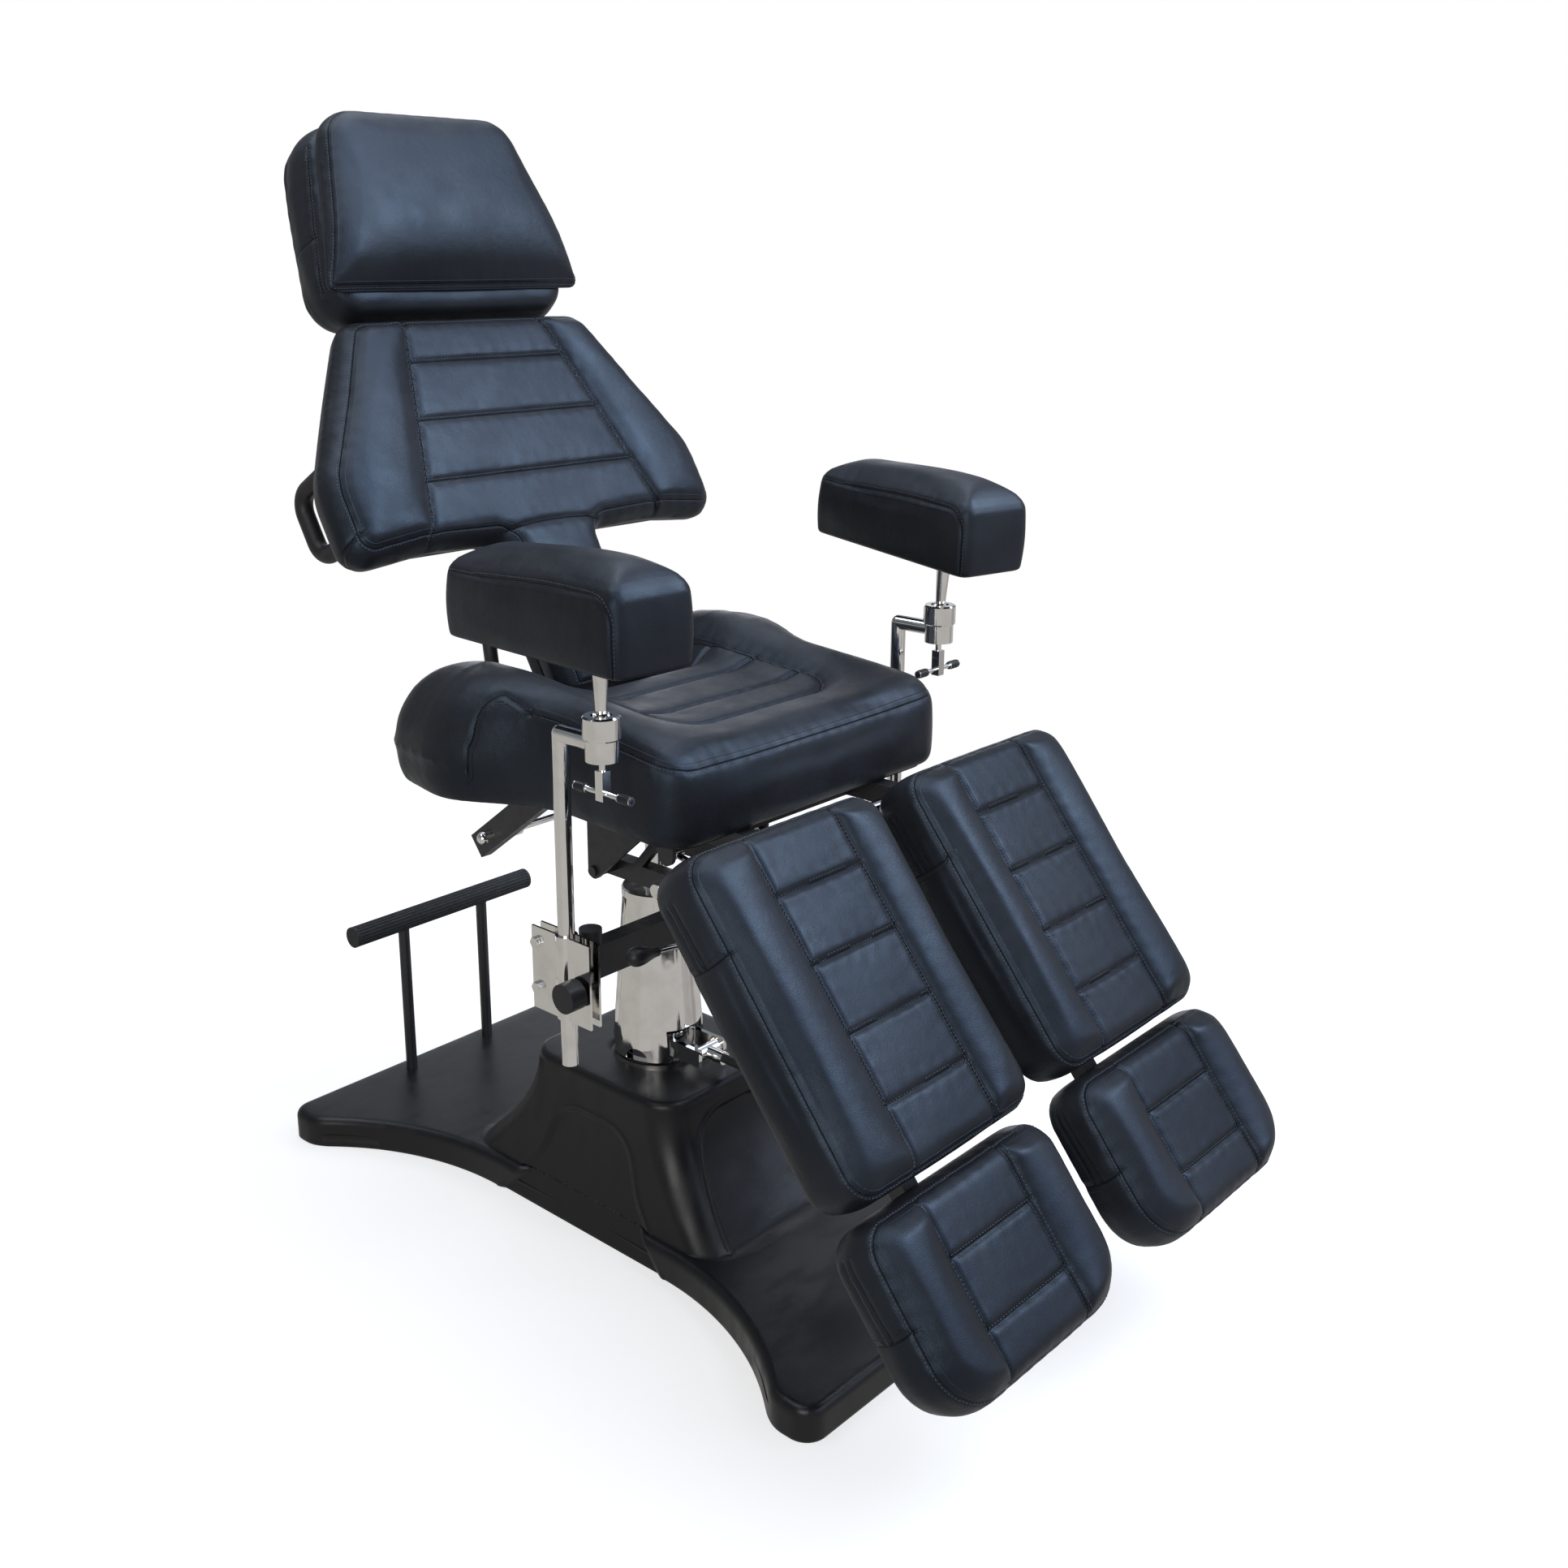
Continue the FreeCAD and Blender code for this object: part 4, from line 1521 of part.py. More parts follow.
def build():
    """Model every piece and write one file for each."""
    make_base()
    make_foot_bar()
    make_pump()
    make_pedal()
    make_seat_frame()
    make_hanging_frame()
    make_arm_bar()
    make_arm("right", -1, POLE_FOOT_NEAR, ARM_YAW_NEAR, ARM_TILT_NEAR)
    make_arm("left", 1, POLE_FOOT_NEAR + ARM_RISE, ARM_YAW_FAR, ARM_TILT_FAR)
    make_release_lever()
    make_seat()
    make_back()
    make_headrest()
    make_back_spring()
    for name, side in SIDES:
        make_leg(name, side)
    os.makedirs("parts", exist_ok=True)
    for name, shape in PARTS.items():
        shape.exportStep("parts/" + name + ".step")
        print(name, len(shape.Solids), round(shape.Volume), shape.isValid())
    print(len(PARTS), "nodes")


build()
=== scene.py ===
"""A hydraulic tattoo chair: sewn leather cushions, chrome, black steel and plastic, in a plain studio."""

import json
import logging
import math
from dataclasses import dataclass, field
from enum import Enum
from typing import Callable

import bmesh
import bpy
import numpy as np
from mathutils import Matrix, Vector
from mathutils.bvhtree import BVHTree


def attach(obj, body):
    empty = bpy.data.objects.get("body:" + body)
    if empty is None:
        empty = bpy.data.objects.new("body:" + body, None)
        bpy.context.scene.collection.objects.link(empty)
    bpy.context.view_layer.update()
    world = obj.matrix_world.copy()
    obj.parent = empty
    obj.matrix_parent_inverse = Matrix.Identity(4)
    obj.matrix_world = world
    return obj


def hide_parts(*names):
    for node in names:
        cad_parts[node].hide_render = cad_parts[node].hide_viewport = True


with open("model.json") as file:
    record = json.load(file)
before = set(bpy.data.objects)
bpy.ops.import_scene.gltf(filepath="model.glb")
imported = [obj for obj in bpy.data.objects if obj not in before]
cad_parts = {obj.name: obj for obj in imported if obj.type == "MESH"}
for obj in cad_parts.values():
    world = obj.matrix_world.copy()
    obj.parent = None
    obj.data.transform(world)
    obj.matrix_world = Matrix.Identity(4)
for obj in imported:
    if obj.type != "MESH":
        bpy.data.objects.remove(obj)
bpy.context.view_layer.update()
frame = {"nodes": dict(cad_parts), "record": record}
LOG = logging.getLogger("tattoo_chair")
Array = np.ndarray
Triple = tuple[float, float, float]
Corners = tuple[tuple[float, float], ...]
Socket = bpy.types.NodeSocket

PRESS_FRAMES = 20
PLAN_SPACING = 0.008
LEAST_RADIUS = 0.0015
SEAM_REACH = 0.05
DENT_WIDTH = 0.0036
RIM_DENT = 0.0009


class Finish(Enum):
    """The finishes of the chair, named as the record's material slots."""

    UPHOLSTERY = "upholstery"
    BOARD = "board"
    BLACK_STEEL = "black_steel"
    CHROME = "chrome"
    COVER = "cover_plastic"
    KNOB = "knob_plastic"
    RUBBER = "rubber"


def add_node(tree: bpy.types.NodeTree, kind: str, inputs: dict[str | int, object], **settings: object
             ) -> bpy.types.Node:
    """Add a node to a material or to the world.

    Args:
        tree: The nodes to add it to.
        kind: Its type.
        inputs: For each socket, a value, or the output of another node that is linked to it.
        settings: The node's own settings, such as its operation.

    Returns:
        The node.
    """
    node = tree.nodes.new(kind)
    for name, value in settings.items():
        setattr(node, name, value)
    for name, value in inputs.items():
        if isinstance(value, Socket):
            tree.links.new(value, node.inputs[name])
        else:
            node.inputs[name].default_value = value
    return node


class Shader:
    """A material under construction: a principled shader and the nodes that feed it."""

    def __init__(self, name: str) -> None:
        """Start a material.

        Args:
            name: The material's name.
        """
        self.material = bpy.data.materials.new(name)
        self.material.use_nodes = True
        self.tree = self.material.node_tree
        self.surface = self.tree.nodes["Principled BSDF"]
        self.position = self.tree.nodes.new("ShaderNodeTexCoord").outputs["Object"]

    def set(self, **values: object) -> None:
        """Set sockets of the principled shader, written with underscores for spaces."""
        for name, value in values.items():
            self.surface.inputs[name.replace("_", " ")].default_value = value

    def stretched(self, scale: Triple) -> Socket:
        """Give the position, stretched by a scale on each axis."""
        inputs = {"Vector": self.position, "Scale": scale}
        return add_node(self.tree, "ShaderNodeMapping", inputs).outputs["Vector"]

    def noise(self, scale: float, detail: float = 4.0, vector: Socket | None = None) -> Socket:
        """Add a noise texture.

        Args:
            scale: Features per metre.
            detail: Octaves.
            vector: Where to read it, the plain position if left out.

        Returns:
            The noise value.
        """
        inputs = {"Vector": vector or self.position, "Scale": scale, "Detail": detail}
        return add_node(self.tree, "ShaderNodeTexNoise", inputs).outputs["Fac"]

    def cells(self, scale: float) -> Socket:
        """Add a cell texture and give the distance to the nearest cell's middle."""
        inputs = {"Vector": self.position, "Scale": scale}
        return add_node(self.tree, "ShaderNodeTexVoronoi", inputs).outputs["Distance"]

    def waves(self, scale: float, direction: str) -> Socket:
        """Add straight waves along one axis, for weaves."""
        inputs = {"Vector": self.position, "Scale": scale}
        return add_node(self.tree, "ShaderNodeTexWave", inputs, bands_direction=direction).outputs["Fac"]

    def attribute(self, name: str) -> Socket:
        """Read a number stored on the mesh."""
        return add_node(self.tree, "ShaderNodeAttribute", {}, attribute_name=name).outputs["Fac"]

    def remap(self, value: Socket, low: float, high: float, out_low: float, out_high: float) -> Socket:
        """Carry a value smoothly from one range to another."""
        inputs = {"Value": value, "From Min": low, "From Max": high, "To Min": out_low, "To Max": out_high}
        node = add_node(self.tree, "ShaderNodeMapRange", inputs, interpolation_type="SMOOTHSTEP")
        return node.outputs["Result"]

    def blend(self, factor: Socket, first: Triple, second: Triple) -> Socket:
        """Mix two colours."""
        inputs = {0: factor, 6: (*first, 1.0), 7: (*second, 1.0)}
        return add_node(self.tree, "ShaderNodeMix", inputs, data_type="RGBA").outputs[2]

    def times(self, first: Socket, second: Socket) -> Socket:
        """Multiply two values."""
        return add_node(self.tree, "ShaderNodeMath", {0: first, 1: second}, operation="MULTIPLY").outputs[0]

    def absolute(self, value: Socket) -> Socket:
        """Drop the sign of a value."""
        return add_node(self.tree, "ShaderNodeMath", {0: value}, operation="ABSOLUTE").outputs[0]

    def feed(self, socket: str, value: Socket) -> None:
        """Link a value to a socket of the principled shader."""
        self.tree.links.new(value, self.surface.inputs[socket])

    def bump(self, height: Socket, distance: float, strength: float = 1.0) -> None:
        """Put a layer of relief on the surface, over the layers already there.

        Args:
            height: The relief, 0 to 1.
            distance: Its depth in metres.
            strength: How much of it shows.
        """
        inputs = {"Distance": distance, "Strength": strength, "Height": height}
        under = self.surface.inputs["Normal"].links
        if under:
            inputs["Normal"] = under[0].from_socket
        self.feed("Normal", add_node(self.tree, "ShaderNodeBump", inputs).outputs["Normal"])


@dataclass(frozen=True)
class Leather:
    """Black upholstery leather: fine grain, slow creases, and sewn grooves with painted shade and a flat
    fold on one side.
    """

    dark: Triple = (0.0080, 0.0080, 0.0090)
    light: Triple = (0.0140, 0.0142, 0.0162)
    roughness_low: float = 0.33
    roughness_high: float = 0.45
    groove: float = 0.0013
    fold: float = 0.0064

    def build(self) -> bpy.types.Material:
        """Make the material."""
        shader = Shader("black_leather")
        shader.set(Specular_IOR_Level=0.30, Specular_Tint=(0.50, 0.72, 1.0, 1.0))
        line = shader.attribute("seam_gap")
        near = shader.remap(shader.attribute("seam_far"), 0.0075, 0.0105, 1.0, 0.0)
        groove = shader.times(shader.remap(shader.absolute(line), 0.0003, self.groove, 1.0, 0.0), near)
        fold = shader.times(shader.remap(line, -0.0003, 0.0003, 0.0, 1.0),
                            shader.remap(line, self.fold, self.fold + 0.0007, 1.0, 0.0))
        # Random tone of the leather, pulled to the dark colour inside the seam grooves: painted shade in the
        # grooves.
        tone_and_groove_shade = shader.times(shader.remap(shader.noise(5.0, 6.0), 0.35, 0.65, 0.0, 1.0),
                            shader.remap(groove, 0.0, 1.0, 1.0, 0.2))
        shader.feed("Base Color", shader.blend(tone_and_groove_shade, self.dark, self.light))
        wear = shader.noise(24.0, 5.0)
        shader.feed("Roughness", shader.remap(wear, 0.3, 0.7, self.roughness_low, self.roughness_high))
        shader.bump(shader.noise(24.0, 3.0), 0.0014, 0.5)
        shader.bump(shader.noise(110.0, 4.0), 0.0004, 0.55)
        shader.bump(shader.cells(950.0), 0.00018, 0.7)
        shader.bump(shader.times(fold, near), 0.0014, 1.0)
        shader.bump(shader.remap(groove, 0.0, 1.0, 1.0, 0.0), 0.0016, 1.0)
        return shader.material


@dataclass(frozen=True)
class Thread:
    """Black sewing thread."""

    dark: Triple = (0.016, 0.019, 0.026)
    light: Triple = (0.036, 0.042, 0.056)

    def build(self) -> bpy.types.Material:
        """Make the material."""
        shader = Shader("black_thread")
        shader.set(Roughness=0.42, Specular_IOR_Level=0.4, Sheen_Weight=0.1)
        shader.feed("Base Color", shader.blend(shader.noise(800.0), self.dark, self.light))
        shader.bump(shader.noise(2600.0, 2.0), 0.0002, 0.8)
        return shader.material


@dataclass(frozen=True)
class Chrome:
    """Polished chrome plate with faint clouds and hairlines."""

    colour: Triple = (0.93, 0.915, 0.89)
    clouded: Triple = (0.84, 0.825, 0.80)

    def build(self) -> bpy.types.Material:
        """Make the material."""
        shader = Shader("polished_chrome")
        shader.set(Metallic=1.0)
        cloud = shader.remap(shader.noise(34.0, 6.0), 0.4, 0.75, 0.0, 1.0)
        shader.feed("Base Color", shader.blend(cloud, self.colour, self.clouded))
        shader.feed("Roughness", shader.remap(shader.noise(70.0, 6.0), 0.35, 0.75, 0.05, 0.14))
        shader.bump(shader.noise(60.0, 2.0, shader.stretched((1.0, 1.0, 0.25))), 0.0004, 0.5)
        return shader.material


@dataclass(frozen=True)
class PaintedSteel:
    """Black powder-coated steel with a fine orange peel."""

    dark: Triple = (0.010, 0.010, 0.011)
    light: Triple = (0.020, 0.020, 0.023)

    def build(self) -> bpy.types.Material:
        """Make the material."""
        shader = Shader("black_powder_coat")
        shader.set(Specular_IOR_Level=0.5, Coat_Weight=0.1, Coat_Roughness=0.3)
        shader.feed("Base Color", shader.blend(shader.noise(30.0, 6.0), self.dark, self.light))
        shader.feed("Roughness", shader.remap(shader.noise(90.0, 5.0), 0.3, 0.7, 0.32, 0.5))
        shader.bump(shader.noise(750.0, 2.0), 0.0003, 0.5)
        return shader.material


@dataclass(frozen=True)
class MouldedPlastic:
    """Black moulded plastic: a fine texture and slow waves of the mould."""

    name: str
    dark: Triple
    light: Triple
    roughness_low: float
    roughness_high: float
    grain: float

    def build(self) -> bpy.types.Material:
        """Make the material."""
        shader = Shader(self.name)
        shader.set(Specular_IOR_Level=0.34)
        shader.feed("Base Color", shader.blend(shader.noise(9.0, 7.0), self.dark, self.light))
        scuff = shader.noise(16.0, 8.0, shader.stretched((1.0, 2.4, 1.0)))
        shader.feed("Roughness", shader.remap(scuff, 0.35, 0.7, self.roughness_low, self.roughness_high))
        shader.bump(shader.noise(7.0, 2.0), 0.002, 0.35)
        shader.bump(shader.noise(self.grain, 3.0), 0.00025, 0.6)
        return shader.material


@dataclass(frozen=True)
class RibbedRubber:
    """Matt black rubber with dust in its pores."""

    dark: Triple = (0.010, 0.010, 0.011)
    light: Triple = (0.026, 0.027, 0.030)

    def build(self) -> bpy.types.Material:
        """Make the material."""
        shader = Shader("matt_rubber")
        shader.set(Specular_IOR_Level=0.35)
        shader.feed("Base Color", shader.blend(shader.noise(60.0, 8.0), self.dark, self.light))
        shader.feed("Roughness", shader.remap(shader.noise(200.0), 0.3, 0.7, 0.55, 0.75))
        shader.bump(shader.noise(1400.0, 3.0), 0.0003, 0.7)
        return shader.material


@dataclass(frozen=True)
class BoardCloth:
    """Black woven backing cloth over a board."""

    dark: Triple = (0.008, 0.008, 0.009)
    light: Triple = (0.020, 0.020, 0.022)

    def build(self) -> bpy.types.Material:
        """Make the material."""
        shader = Shader("backing_cloth")
        shader.set(Specular_IOR_Level=0.3, Sheen_Weight=0.15, Sheen_Roughness=0.5)
        weave = shader.times(shader.waves(260.0, "X"), shader.waves(260.0, "Y"))
        shader.feed("Base Color", shader.blend(weave, self.dark, self.light))
        shader.feed("Roughness", shader.remap(shader.noise(40.0), 0.3, 0.7, 0.7, 0.85))
        shader.bump(weave, 0.0004, 0.8)
        return shader.material


class Workshop:
    """Every finished material, built once."""

    def __init__(self) -> None:
        """Build the materials."""
        cover = MouldedPlastic("moulded_cover", (0.0055, 0.0055, 0.0068), (0.0095, 0.0095, 0.0112),
                               0.30, 0.44, 900.0)
        knob = MouldedPlastic("knob_plastic", (0.008, 0.008, 0.009), (0.016, 0.016, 0.018),
                              0.34, 0.46, 1500.0)
        self.thread = Thread().build()
        self.by_slot = {
            Finish.UPHOLSTERY: Leather().build(),
            Finish.BOARD: BoardCloth().build(),
            Finish.BLACK_STEEL: PaintedSteel().build(),
            Finish.CHROME: Chrome().build(),
            Finish.COVER: cover.build(),
            Finish.KNOB: knob.build(),
            Finish.RUBBER: RibbedRubber().build(),
        }

    def dress_nodes(self) -> None:
        """Give every CAD node the material of its slot."""
        slots = {entry["node"]: Finish(entry["material_slot"]) for entry in frame["record"]["subparts"]}
        for name, node in frame["nodes"].items():
            node.data.materials.clear()
            node.data.materials.append(self.by_slot[slots[name]])

    def dress(self, piece: bpy.types.Object, finish: Finish, body: str, nodes: tuple[str, ...] = ()) -> None:
        """Finish a new piece: material, slot, body and the nodes that it stands for.

        Args:
            piece: The new object.
            finish: Its finish.
            body: The CAD body that it rides on.
            nodes: CAD nodes that it replaces.
        """
        if not piece.data.materials:
            piece.data.materials.append(self.by_slot[finish])
        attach(piece, body)
        if nodes:
            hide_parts(*nodes)


def new_object(name: str, points: Array, faces: Array | list, smooth: bool = True) -> bpy.types.Object:
    """Make an object from points and faces.

    Args:
        name: The object's name.
        points: Vertex positions, one row each.
        faces: Vertex numbers of each face.
        smooth: Whether it is shaded smooth.

    Returns:
        The linked object.
    """
    mesh = bpy.data.meshes.new(name)
    mesh.from_pydata(points, [], faces)
    if smooth:
        mesh.shade_smooth()
    mesh.update()
    piece = bpy.data.objects.new(name, mesh)
    bpy.context.scene.collection.objects.link(piece)
    return piece


def grid_faces(rows: int, columns: int, closed: bool) -> Array:
    """Faces of a grid of points, row by row, with its columns joined round if closed."""
    row = np.arange(rows - 1)[:, None]
    column = np.arange(columns if closed else columns - 1)[None, :]
    after = (column + 1) % columns
    start = row * columns
    above = start + columns
    return np.stack([start + column, start + after, above + after, above + column], -1).reshape(-1, 4)


def mesh_points(mesh: bpy.types.Mesh, kind: str = "co") -> Array:
    """Read a mesh's vertex positions, or another vector of each vertex."""
    flat = np.empty(len(mesh.vertices) * 3)
    mesh.vertices.foreach_get(kind, flat)
    return flat.reshape(-1, 3)


def applied(piece: bpy.types.Object) -> bpy.types.Mesh:
    """Give a piece's mesh with its modifiers applied."""
    graph = bpy.context.evaluated_depsgraph_get()
    return bpy.data.meshes.new_from_object(piece.evaluated_get(graph))


def step(value: Array, low: float, high: float) -> Array:
    """A smooth step from 0 at low to 1 at high."""
    share = np.clip((value - low) / (high - low), 0.0, 1.0)
    return share * share * (3.0 - 2.0 * share)


def line_gap(points: Array, line: Array, normals: Array | None = None) -> Array:
    """The distance from each point to a run of straight pieces, minus on its right.

    Args:
        points: Flat points, or points in space.
        line: The run's corners.
        normals: Which way the surface faces at each point in space; left out, the distance has no sign.

    Returns:
        The distances.
    """
    best = np.full(len(points), np.inf)
    for start, end in zip(line[:-1], line[1:]):
        along, away = end - start, points - start
        share = np.clip(away @ along / (along @ along), 0.0, 1.0)
        distance = np.linalg.norm(away - share[:, None] * along, axis=1)
        if line.shape[1] == 2:
            distance = np.copysign(distance, along[0] * away[:, 1] - along[1] * away[:, 0])
        elif normals is not None:
            distance = np.copysign(distance, (np.cross(along, away) * normals).sum(1))
        best = np.where(np.abs(distance) < np.abs(best), distance, best)
    return best


def inside(points: Array, loop: Array) -> Array:
    """Whether each point lies inside a closed loop, by counting crossings to its right."""
    crossings = np.zeros(len(points), dtype=int)
    x, y = points[:, 0], points[:, 1]
    for (x1, y1), (x2, y2) in zip(loop, np.roll(loop, -1, axis=0)):
        if y1 != y2:
            spans = (y1 > y) != (y2 > y)
            crossings += spans & (x < (x2 - x1) * (y - y1) / (y2 - y1) + x1)
    return crossings % 2 == 1


def evenly(line: Array, spacing: float) -> Array:
    """Points along a line at equal spacing."""
    lengths = np.linalg.norm(np.diff(line, axis=0), axis=1)
    travelled = np.concatenate([[0.0], np.cumsum(lengths)])
    stations = np.linspace(0.0, travelled[-1], max(int(travelled[-1] / spacing), 2))
    return np.stack([np.interp(stations, travelled, line[:, axis]) for axis in range(line.shape[1])], 1)


@dataclass(frozen=True)
class Place:
    """Where a flat-modelled piece stands: leaned about X, turned about Z, then moved."""

    lean: float
    move: Triple
    turn: float = 0.0
    flip: bool = False

    def put(self, points: Array) -> Array:
        """Carry flat points (across, up, out) into the chair."""
        lean, turn = math.radians(self.lean), math.radians(self.turn)
        across = -points[:, 0] if self.flip else points[:, 0]
        up, out = points[:, 1], points[:, 2]
        y = up * math.cos(lean) - out * math.sin(lean)
        z = up * math.sin(lean) + out * math.cos(lean)
        x_turned = across * math.cos(turn) - y * math.sin(turn)
        y_turned = across * math.sin(turn) + y * math.cos(turn)
        return np.stack([x_turned, y_turned, z], 1) + np.array(self.move)

    def faces(self, faces: Array) -> Array:
        """A piece's faces, turned over where it is mirrored."""
        return faces[:, ::-1] if self.flip else faces


@dataclass(frozen=True)
class Plan:
    """The plan of a cushion: corners, anticlockwise, and the radius at each."""

    corners: Corners
    radii: tuple[float, ...]

    @staticmethod
    def mirrored(half: Corners, radii: tuple[float, ...]) -> "Plan":
        """A symmetric plan from its half at +X, listed from the front to the back."""
        other = tuple((-x, y) for x, y in reversed(half))
        return Plan(half + other, radii + tuple(reversed(radii)))

    def ring(self, inset: float) -> Array:
        """The outline moved in by an inset, with the same number of points at every inset."""
        corners = np.array(self.corners)
        before, after = np.roll(corners, 1, axis=0), np.roll(corners, -1, axis=0)
        first = (corners - before) / np.linalg.norm(corners - before, axis=1)[:, None]
        second = (after - corners) / np.linalg.norm(after - corners, axis=1)[:, None]
        turn = first[:, 0] * second[:, 1] - first[:, 1] * second[:, 0]
        slide = (1 - (first * second).sum(1)) / turn
        inward = np.stack([-first[:, 1], first[:, 0]], 1)
        moved = corners + inset * (inward - first * slide[:, None])
        runs = np.maximum((np.linalg.norm(after - corners, axis=1) / PLAN_SPACING).astype(int), 2)
        radii = [max(radius - inset, LEAST_RADIUS) if bend > 0 else radius + inset
                 for radius, bend in zip(self.radii, turn)]
        halves = [math.acos(float(-arriving @ leaving)) / 2 for arriving, leaving in zip(first, second)]
        reaches = [radius / math.tan(half) for radius, half in zip(radii, halves)]
        pieces = []
        for i, here in enumerate(moved):
            inwards = (second[i] - first[i]) / np.linalg.norm(second[i] - first[i])
            centre = here + inwards * (radii[i] / math.sin(halves[i]))
            start, end = here - first[i] * reaches[i] - centre, here + second[i] * reaches[i] - centre
            sweep = math.atan2(start[0] * end[1] - start[1] * end[0], start @ end)
            count = max(12, int(self.radii[i] * abs(sweep) / PLAN_SPACING))
            angles = math.atan2(start[1], start[0]) + np.linspace(0.0, sweep, count)
            pieces.append(centre + radii[i] * np.stack([np.cos(angles), np.sin(angles)], 1))
            j = (i + 1) % len(moved)
            finish = moved[j] - first[j] * reaches[j]
            shares = np.linspace(0.0, 1.0, runs[i] + 1)[1:-1, None]
            pieces.append(pieces[-1][-1] * (1 - shares) + finish * shares)
        return np.concatenate(pieces)

    def edge_distance(self, points: Array) -> Array:
        """How far in from the outline each point lies, negative outside."""
        loop = self.ring(0.0)
        distance = np.abs(line_gap(points, np.concatenate([loop, loop[:1]])))
        return np.where(inside(points, loop), distance, -distance)

    def soft_edge(self, points: Array) -> Array:
        """How far in each point lies, smoothed so that no ridge stands where two edges are equally near.

        The sum of length over the fifth power of distance, along a straight edge, is four thirds of the
        fourth power of one over the distance to it; that sum round the whole outline gives the distance.
        """
        ring = self.ring(0.0)
        loop = evenly(np.concatenate([ring, ring[:1]]), 0.003)[1:]
        length = np.linalg.norm(loop[1] - loop[0])
        total = np.empty(len(points))
        for block in np.array_split(np.arange(len(points)), len(points) // 4000 + 1):
            square = ((points[block, None] - loop) ** 2).sum(2) + 1e-6
            total[block] = (length / (square * square * np.sqrt(square))).sum(1)
        return np.where(inside(points, ring), (0.75 * total) ** -0.25, 0.0)


@dataclass(frozen=True)
class Seam:
    """A sewn line on a cushion, with rows of stitches beside it.

    A line of (across, up) points lies on the face; a line of (across, up, out) points lies on a side.
    """

    line: tuple[tuple[float, ...], ...]
    depth: float = 0.0016
    rows: tuple[float, ...] = (0.0031, -0.0031)

    @property
    def on_face(self) -> bool:
        """Whether the line is drawn on the face."""
        return len(self.line[0]) == 2


@dataclass(frozen=True)
class Profile:
    """A cushion's section at its rim: a rounded foot, a side that swells and a rounded upper edge."""

    edge: float = 0.014
    drop: float = 0.014
    foot: float = 0.010
    foot_rise: float = 0.012
    swell: float = 0.0

    def section(self, low: float, high: float) -> tuple[Array, Array]:
        """Quarter ellipses at the foot and at the edge, and a half sine up the side.

        Args:
            low: Level of the back.
            high: Level of the face.

        Returns:
            How far in from the outline, and how high, each ring lies.
        """
        quarter = np.linspace(0.0, math.pi / 2, 9)
        sides = np.linspace(0.0, 1.0, 11)[1:-1]
        height = high - low - self.drop - self.foot_rise
        insets = [self.foot * (1 - np.sin(quarter)), -self.swell * np.sin(math.pi * sides),
                  self.edge * (1 - np.cos(quarter))]
        levels = [low + self.foot_rise * (1 - np.cos(quarter)), low + self.foot_rise + height * sides,
                  high - self.drop * (1 - np.sin(quarter))]
        return np.concatenate(insets), np.concatenate(levels)


def level(points: Array) -> Array:
    """No change of height, for cushions with an even face."""
    return np.zeros(len(points))


